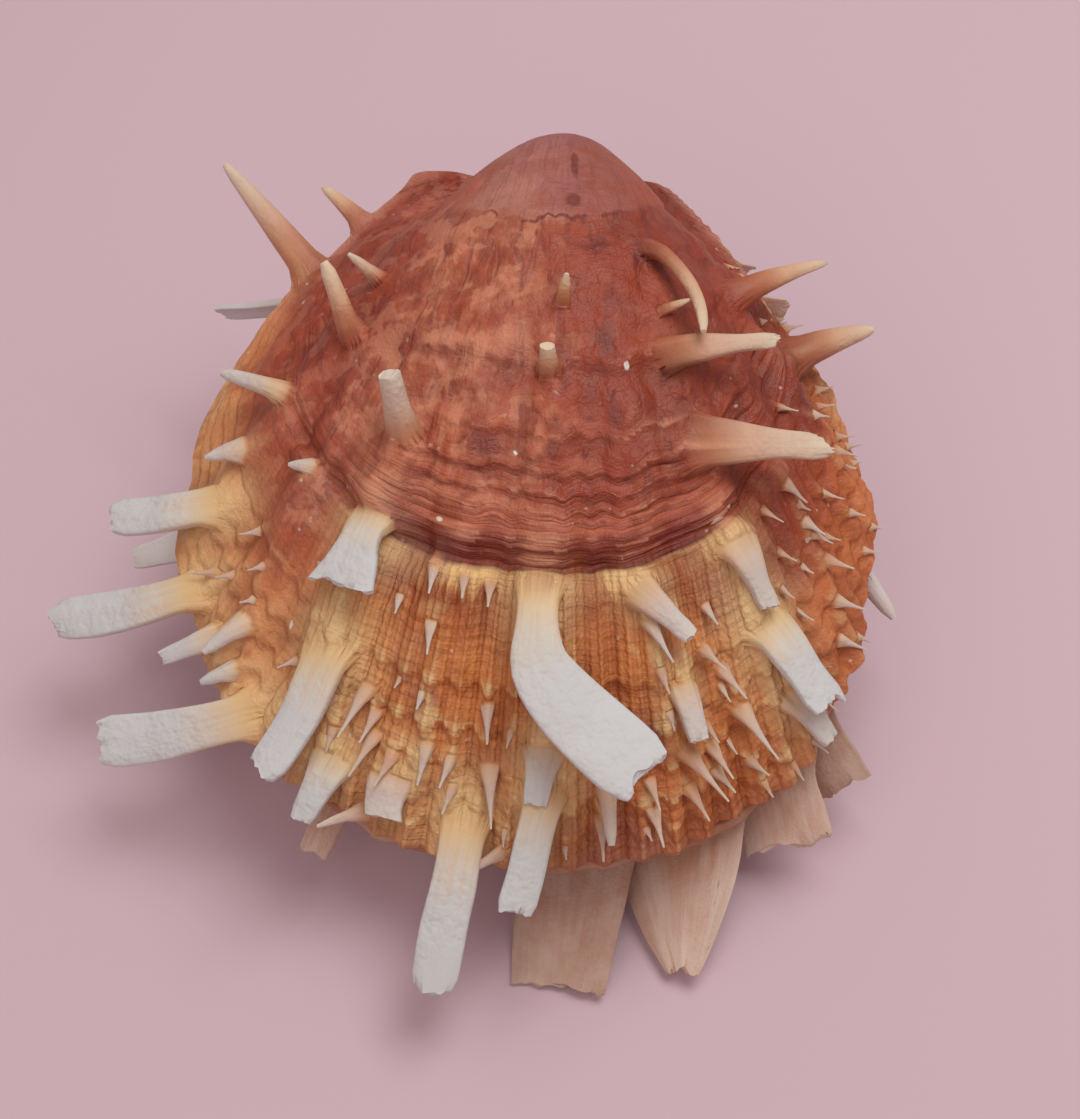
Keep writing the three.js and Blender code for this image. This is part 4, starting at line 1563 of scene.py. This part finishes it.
@dataclass
class UpperValve:
    """Spiny valve that faces up: ribs, growth ledges, big spines and rows of thorns."""

    name: str = "upper_valve"
    # heights of the ribs, the riblets and the fine lines, and of the broad, fine and knobbly noise
    rib_height: float = 0.8
    riblet_height: float = 0.3
    line_height: float = 0.08
    broad_height: float = 0.55
    fine_height: float = 0.2
    knob_height: float = 0.58
    ear_rise: float = 1.5
    left_shoulder: float = 4.5
    right_shoulder: float = 2.0
    thorn_pitch: float = 2.5
    thorn_step: float = 0.046
    columns: int = 136
    zones: tuple[Zone, ...] = (
        Zone(0.045, 0.2, 8, 0), Zone(0.2, 0.36, 18, 0), Zone(0.36, 0.57, 32, 1), Zone(0.57, 0.67, 30, 1),
        Zone(0.67, 0.715, 14, 2), Zone(0.715, 1.0, 56, 2),
    )
    # age, drop, fade and width of the growth steps, the great ledge first
    steps: tuple[tuple[float, float, float, float], ...] = (
        (LEDGE_LIP, 2.3, 0.05, 0.03), (BEAK_SCAR, 0.45, 0.06, 0.006), (0.5, 0.7, 0.05, 0.008),
        (0.575, 0.3, 0.03, 0.006), (0.612, 0.75, 0.03, 0.005), (0.634, 0.6, 0.02, 0.005),
        (0.652, 0.4, 0.014, 0.006), (0.66, 0.35, 0.012, 0.006), (0.684, 0.25, 0.008, 0.005),
        (0.695, 0.25, 0.008, 0.005), (0.825, 0.5, 0.03, 0.006), (0.872, 0.6, 0.03, 0.006),
        (0.91, 0.6, 0.03, 0.006), (0.945, 0.5, 0.03, 0.006), (0.975, 0.4, 0.02, 0.006),
    )
    finish: UpperFinish = field(default_factory=UpperFinish)

    def relief(self, age: np.ndarray, bearing: np.ndarray, place: np.ndarray) -> Relief:
        """Relief on the smooth growth surface.

        Args:
            age: share of the growth at each place.
            bearing: degrees from the beak's front line.
            place: the places on the smooth surface, in millimetres.

        Returns:
            Heights in millimetres, crests and grooves for the painted highlight and shade, and the wavy age.
        """
        phase = (bearing - RIB_OFFSET) / RIB_PITCH
        inside = 1 - smoothstep(40, 60, np.abs(bearing))
        soft = lattice_noise(place / 9.0, 1.0)
        fine = lattice_noise(place / 2.6, 2.0)
        knobs = lattice_noise(place / 4.6, 4.0) + 0.5 * lattice_noise(place / 1.7, 7.0)
        # the riblets fade on both flanks, and on the old skin beside the middle
        flank = 1 - 0.6 * smoothstep(55, 80, np.abs(bearing))
        flank *= 1 - 0.85 * smoothstep(34, 44, -bearing)
        flank *= 1 - 0.85 * smoothstep(20, 34, -bearing) * smoothstep(0.88, 0.8, age)
        flank *= 1 - 0.7 * smoothstep(24, 40, bearing) * smoothstep(0.78, 0.68, age)
        young = smoothstep(0.7, 0.78, age)
        # ribs, riblets and fine lines, stronger in the new growth
        drift = phase + 0.04 * soft
        main = np.cos(2 * np.pi * phase) * smoothstep(0.3, 0.85, age) * inside
        second = np.cos(2 * np.pi * RIB_PITCH / self.thorn_pitch * drift + 0.3)
        second = second * (0.25 * smoothstep(0.35, 0.6, age) + 0.75 * young) * flank
        third = np.cos(6 * np.pi * RIB_PITCH / self.thorn_pitch * drift)
        third = third * (0.1 + 0.9 * young) * smoothstep(0.3, 0.5, age) * flank
        stage = age + self._pleats(age, phase, soft)
        steps, lip_light_and_shade = self._growth_steps(stage - 0.006 * second * smoothstep(0.78, 0.84, age), bearing)
        # the riblets end in teeth along the front margin
        edge = 1 + 2.0 * smoothstep(0.92, 1.0, age) * (1 - smoothstep(24, 36, np.abs(bearing)))
        height = self.rib_height * main + self.riblet_height * edge * second
        height = height + self.line_height * third + steps
        height += (self.broad_height * soft * smoothstep(0.2, 0.4, age)
                   + self.fine_height * fine * smoothstep(0.25, 0.4, age))
        height += self.knob_height * knobs * smoothstep(0.3, 0.42, age) * (1 - 0.7 * young)
        # knotty lumps along the foot of the great ledge
        lumps = smoothstep(0.708, 0.714, stage) * smoothstep(0.75, 0.73, stage)
        height += (0.5 + 0.5 * fine) * lumps * inside
        height += self._shoulders(age, bearing)
        # the crest shading drives the painted shade in the grooves and under the steps, and the painted
        # highlight on ridges and lips
        crest = 0.3 * main + 0.25 * second + 0.1 * third + 0.45 * fine + lip_light_and_shade
        return Relief(height, crest, stage)

    def _pleats(self, age: np.ndarray, phase: np.ndarray, soft: np.ndarray) -> np.ndarray:
        """Uneven waves of the growth lines.

        Args:
            age: share of the growth at each place.
            phase: place across the ribs.
            soft: broad noise at each place.

        Returns:
            How far the age is shifted.
        """
        still = np.zeros(len(age))
        broad = lattice_noise(np.stack([phase * 2.1, age * 4.0, still], axis=1), 11.0)
        narrow = lattice_noise(np.stack([phase * 5.3, age * 9.0, still], axis=1), 12.0)
        cusps = np.abs(lattice_noise(np.stack([phase * 3.3, age * 3.0, still], axis=1), 13.0))
        waves = 0.005 * broad + 0.0025 * narrow + 0.008 * cusps + 0.003 * soft
        calm = 1 - 0.6 * smoothstep(0.645, 0.665, age) * smoothstep(0.75, 0.72, age)
        return waves * smoothstep(0.25, 0.5, age) * calm

    def _shoulders(self, age: np.ndarray, bearing: np.ndarray) -> np.ndarray:
        """Swollen shoulders on both sides of the beak and the raised left ear.

        Args:
            age: share of the growth at each place.
            bearing: degrees from the beak's front line.

        Returns:
            Heights in millimetres.
        """
        left = self.left_shoulder * smoothstep(46, 78, -bearing) * smoothstep(0.3, 0.7, age)
        right = self.right_shoulder * smoothstep(46, 78, bearing) * smoothstep(0.3, 0.7, age)
        ear = self.ear_rise * smoothstep(70, 88, -bearing) * smoothstep(0.6, 0.9, age)
        rounded = 1 - 0.75 * smoothstep(0.94, 1.0, age)
        hinge = 1 - 0.8 * smoothstep(84, 96, np.abs(bearing))
        return rounded * hinge * (left + right + ear)

    def _growth_steps(self, stage: np.ndarray, bearing: np.ndarray) -> tuple[np.ndarray, np.ndarray]:
        """Drops of the growth steps, with painted highlight on the lip above and painted shade below each.

        Args:
            stage: wavy age at each place.
            bearing: degrees from the beak's front line.

        Returns:
            Heights in millimetres, and the painted light of each place: highlight on a lip above 0, shade
            below a step under 0.
        """
        total = np.zeros(len(stage))
        lip_light_and_shade = np.zeros(len(stage))
        middle = 1 - smoothstep(20, 40, np.abs(bearing + 4))
        middle *= 1 - 0.45 * smoothstep(2, 10, bearing)
        for at, drop, fade, width in self.steps:
            past = stage - at
            under = np.where(past > 0, np.exp(-np.maximum(past, 0) / (0.35 * fade)), 0.0)
            above = np.where(past <= 0, np.exp(np.minimum(past, 0) / 0.006), 0.0)
            great = at == LEDGE_LIP
            share = middle if great else 1 - smoothstep(35, 70, np.abs(bearing))
            if not great and at < LEDGE_LIP:
                share = share * (1 - 0.8 * smoothstep(16, 30, -bearing))
            cut = smoothstep(0.0, width, past) * np.exp(-np.maximum(past - width, 0) / fade)
            total -= drop * share * cut
            # lips get painted highlight and the skin below each step painted shade, except below the great
            # ledge
            lip_light_and_shade += share * (0.8 * above - (0.0 if great else 0.7) * under)
        return total, lip_light_and_shade

    def thorns(self) -> list[Spine]:
        """Thorns on the ribs of the new growth, by place in front and strewn between and beside.

        Returns:
            The thorns, the placed ones first.
        """
        made = []
        for index, (bearing, age, length, lean) in enumerate(THORNS):
            lift, width = 20 + 8 * scatter(index, 6.0), 1.1 + 0.22 * length
            made.append(Spine(age, bearing, lift, lean, length, width, 0.28, Form.THORN,
                              white=0.3 + 0.4 * scatter(index, 7.0), curl=0.1 * length))
        # the strewn ones stand on the riblets, thinned out at random
        rows, steps = range(-22, 23), range(9)
        for index, (row, step) in enumerate(((row, step) for row in rows for step in steps), 1):
            bearing = RIB_OFFSET + self.thorn_pitch * (row + 0.6 * (scatter(index, 2.0) - 0.5))
            age = 0.6 + self.thorn_step * step + 0.04 * (scatter(index, 3.0) - 0.5)
            front = abs(bearing) < 18
            first = 0.74 if front else (0.82 if bearing < 0 else 0.68)
            bare = 0.72 if age < 0.75 else 0.5
            if age < first or age > 0.985 or bearing < -37 or scatter(index, 1.0) < bare:
                continue
            length = (1.2 if front else 1.8) + (1.2 if front else 2.6) * scatter(index, 4.0) ** 1.6
            lean = 1.2 * bearing + 20 * (scatter(index, 5.0) - 0.5)
            lift, width = 14 + 12 * scatter(index, 6.0), 0.7 + 0.25 * length
            made.append(Spine(age, bearing, lift, lean, length, width, 0.2, Form.THORN,
                              white=0.25 + 0.4 * scatter(index, 7.0), curl=0.4))
        return made

    def build(self) -> bpy.types.Object:
        """Builds the valve's skin with its spines and dresses it.

        Returns:
            The finished piece.
        """
        sheet = ValveSheet(UPPER_GROWTH, self.zones, self.columns, self.relief)
        sheet.weave()
        sheet.shape()
        self._swell(sheet)
        grower = SpineGrower(sheet)
        big = sum(grower.plant(spine) for spine in UPPER_SPINES)
        small = sum(grower.plant(thorn) for thorn in self.thorns())
        grower.grow()
        LOG.info("%s: %d of %d spines, %d thorns", self.name, big, len(UPPER_SPINES), small)
        settle(sheet.bm)
        return finish_piece(sheet.bm, self.name, self.finish.build())

    def _swell(self, sheet: ValveSheet) -> None:
        """Raises ridges that run into the spines' roots, lightens their tops, partly as painted highlight,
        and marks the pale ring round them.

        Args:
            sheet: the valve's skin, which is changed.
        """
        bm = sheet.bm
        layers = bm.verts.layers.float
        halo_layer, crest_shading_layer = layers.new("halo"), layers["crest"]
        place = np.array([v.co[:] for v in bm.verts])
        outer = np.array([v[layers["inside"]] for v in bm.verts]) < 0.5
        halo, rise, crest = np.zeros(len(place)), np.zeros(len(place)), np.zeros(len(place))
        for spine in (*UPPER_SPINES, *self.thorns()):
            root = Root.of(UPPER_GROWTH, spine)
            fore = np.cross(root.normal, root.wide)
            offset = place - root.base
            near = outer & (np.abs(offset).max(axis=1) < 14)
            u, v = offset[near] @ root.wide, offset[near] @ fore
            small = spine.form is Form.THORN
            size = spine.root
            # the ridge runs out slowly behind the root and drops off in front of it
            back = np.where(v < 0, (2.2 if small else 1.3) * size, 0.55 * size)
            bump = np.exp(-((u / (0.6 * size)) ** 2) - (v / back) ** 2)
            rise[near] = np.maximum(rise[near], (0.22 if small else 0.2) * size * bump)
            crest[near] = np.maximum(crest[near], bump)
            if not small:
                gap = np.hypot(u / size, v / np.where(v < 0, 1.3 * size, 1.7 * size))
                pale = spine.white * (1.0 if spine.form in (Form.BLADE, Form.FAN) else 0.3)
                halo[near] = np.maximum(halo[near], pale * np.exp(-(gap**2)))
        self._fleck_and_shade(bm)
        for vert, ring, up, top in zip(bm.verts, halo, rise, crest):
            vert[halo_layer] = ring
            # the ridge tops are lightened through the crest shading, partly as painted highlight
            vert[crest_shading_layer] += 0.8 * top
            vert.co += vert.normal * up

    def _fleck_and_shade(self, bm: bmesh.types.BMesh) -> None:
        """Marks the dark and white flecks on the skin, with the painted shadow in front of the middle stub.

        Args:
            bm: the skin, which is changed.
        """
        layers = bm.verts.layers.float
        mark = layers.new("fleck")
        age = np.array([v[layers["age"]] for v in bm.verts])
        rib = np.array([v[layers["rib"]] for v in bm.verts])
        total = np.zeros(len(age))
        for at, beside, half_long, half_wide, sign in FLECKS_AND_SHADE:
            gap = ((age - at) / half_long) ** 2 + ((rib - beside) / half_wide) ** 2
            total += sign * np.exp(-gap)
        for vert, value in zip(bm.verts, total):
            vert[mark] = value


@dataclass
class LowerValve:
    """Cupped valve underneath: thin layers, broad leaves and a flat scar."""

    name: str = "lower_valve"
    columns: int = 140
    zones: tuple[Zone, ...] = (Zone(0.05, 0.45, 16, 0), Zone(0.45, 0.76, 34, 1), Zone(0.76, 1.0, 46, 2))
    layers: float = 46.0
    leaf_pitch: float = 11.0
    # in metres: height below which the skin is scar, lowest height of a leaf, and half its thickness
    scar_height: float = 0.0006
    leaf_lowest: float = 0.0002
    leaf_half: float = 0.0005
    finish: LowerFinish = field(default_factory=LowerFinish)

    def relief(self, age: np.ndarray, bearing: np.ndarray, place: np.ndarray) -> Relief:
        """Relief of folds and layers on the smooth growth surface.

        Args:
            age: share of the growth at each place.
            bearing: degrees from the beak's front line.
            place: the places on the smooth surface, in millimetres.

        Returns:
            Heights in millimetres, crests and grooves, and the wavy age.
        """
        soft = lattice_noise(place / 8.0, 5.0)
        fine = lattice_noise(place / 2.4, 6.0)
        grown = smoothstep(0.5, 0.8, age)
        height = (np.sin(age * 40) * 0.6 + 0.5 * np.cos(bearing * 0.5)) * grown
        # thin layers that end in a small step each
        step = (age + 0.01 * soft) * self.layers
        step -= np.floor(step)
        height += 0.35 * (step - 0.5) * smoothstep(0.3, 0.6, age)
        height += 0.25 * np.cos(bearing * 1.9) * grown
        crest = 1.4 * (step - 0.5) + 0.4 * fine
        # the front margin is drawn in under the upper valve's
        height -= 1.5 * smoothstep(0.92, 1.0, age) * smoothstep(60, 30, np.abs(bearing))
        return Relief(height + 0.4 * soft + 0.12 * fine, crest, age + 0.01 * soft)

    def flank_leaves(self) -> list[Spine]:
        """Short leaves in a row round the flanks.

        Returns:
            The leaves.
        """
        return [Spine(0.8, step * self.leaf_pitch + 4, 38, 0, 8, 6, 7, Form.LEAF, white=0.5, chip=0.15)
                for step in range(-4, 5)]

    def build(self) -> bpy.types.Object:
        """Builds the valve's skin with its leaves and dresses it.

        Returns:
            The finished piece.
        """
        sheet = ValveSheet(LOWER_GROWTH, self.zones, self.columns, self.relief)
        sheet.weave()
        sheet.shape()
        grower = SpineGrower(sheet)
        grown = sum(grower.plant(leaf) for leaf in (*LOWER_LEAVES, *self.flank_leaves()))
        grower.grow()
        LOG.info("%s: %d leaves", self.name, grown)
        settle(sheet.bm)
        self._flatten(sheet.bm)
        return finish_piece(sheet.bm, self.name, self.finish.build())

    def _flatten(self, bm: bmesh.types.BMesh) -> None:
        """Grinds whatever reaches the floor into a flat scar.

        Args:
            bm: the valve, which is changed.
        """
        layers = bm.verts.layers.float
        scar = layers.new("scar")
        spine, upper = layers["spine"], layers["root_q"]
        for vert in bm.verts:
            leaf = vert[spine] > 0.0
            vert[scar] = 1.0 if vert.co.z < self.scar_height and not leaf else 0.0
            lowest = self.leaf_lowest + self.leaf_half * (1 + vert[upper]) if leaf else 0.0
            vert.co.z = max(vert.co.z, lowest)


@dataclass(frozen=True)
class Lamp:
    """Soft square light: its place and size in metres, its power in watts and its tint."""

    name: str
    place: tuple[float, float, float]
    size: float
    power: float
    tint: Colour


@dataclass
class Studio:
    """Pale floor, soft lights and the camera at the photograph's angle."""

    elevation: float = 55.0
    distance: float = 0.3
    target: tuple[float, float, float] = (-0.004, -0.017, 0.02735)
    lens: float = 69.35
    sensor: float = 36.0
    shift: tuple[float, float] = (0.0089, -0.0174)
    floor_half: float = 6.0
    floor_roughness: float = 0.9
    floor_colour: Colour = (0.635, 0.458, 0.508)
    floor_shade: Colour = (0.62, 0.43, 0.475)
    lamps: tuple[Lamp, ...] = (
        Lamp("key", (0.16, 0.1, 0.64), 0.4, 2.6, (0.96, 1.0, 1.0)),
        Lamp("fill", (-0.3, -0.6, 0.7), 0.7, 1.75, (1.0, 0.9, 0.88)),
    )
    room_tint: Colour = (1.0, 0.84, 0.83)
    room_strength: float = 0.36

    def build(self) -> None:
        """Places the floor, the lights and the camera."""
        self._floor()
        self._lights()
        self._camera()

    def _floor(self) -> None:
        """Plain pale floor."""
        bm = bmesh.new()
        bmesh.ops.create_grid(bm, x_segments=2, y_segments=2, size=self.floor_half)
        mesh = bpy.data.meshes.new("floor")
        bm.to_mesh(mesh)
        bm.free()
        material, sketch, shader = new_material("pale_floor")
        tint = sketch.noise(sketch.place(), 3.0, 2.0)
        pale = sketch.mix(sketch.times(tint, 0.06), self.floor_colour, self.floor_shade)
        sketch.put(shader.inputs["Base Color"], pale)
        shader.inputs["Roughness"].default_value = self.floor_roughness
        mesh.materials.append(material)
        floor = bpy.data.objects.new("floor", mesh)
        bpy.context.scene.collection.objects.link(floor)

    def _lights(self) -> None:
        """Hangs one broad light above and behind to the right and a fill in front, in a pale room."""
        for lamp in self.lamps:
            self._hang(lamp)
        world = bpy.data.worlds.new("room")
        world.use_nodes = True
        ground = world.node_tree.nodes["Background"]
        ground.inputs["Color"].default_value = (*self.room_tint, 1.0)
        ground.inputs["Strength"].default_value = self.room_strength
        bpy.context.scene.world = world
        bpy.context.scene.view_settings.view_transform = "Standard"

    def _hang(self, lamp: Lamp) -> None:
        """Hangs a light and turns it to the shell.

        Args:
            lamp: the light.
        """
        data = bpy.data.lights.new(lamp.name, "AREA")
        data.size = lamp.size
        data.energy = lamp.power
        data.color = lamp.tint
        hung = bpy.data.objects.new(lamp.name, data)
        hung.location = lamp.place
        hung.rotation_euler = (Vector(self.target) - Vector(lamp.place)).to_track_quat("-Z", "Y").to_euler()
        bpy.context.scene.collection.objects.link(hung)

    def _camera(self) -> None:
        """Camera at the photograph's viewing angle."""
        data = bpy.data.cameras.new("camera")
        data.sensor_fit = "VERTICAL"
        data.sensor_height = self.sensor
        data.lens = self.lens
        data.shift_x, data.shift_y = self.shift
        data.clip_start = 0.01
        tilt = math.radians(self.elevation)
        camera = bpy.data.objects.new("camera", data)
        camera.location = Vector(self.target) + Vector((0, -math.cos(tilt), math.sin(tilt))) * self.distance
        camera.rotation_euler = (math.pi / 2 - tilt, 0, 0)
        bpy.context.scene.collection.objects.link(camera)
        bpy.context.scene.camera = camera


def main() -> None:
    """Builds the shell and the studio and notes the sizes."""
    logging.basicConfig(level=logging.INFO, format="%(message)s")
    for valve in (UpperValve(), LowerValve()):
        piece = valve.build()
        LOG.info("built %s", piece.name)
    Studio().build()
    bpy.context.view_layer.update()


if __name__ == "__main__":
    main()
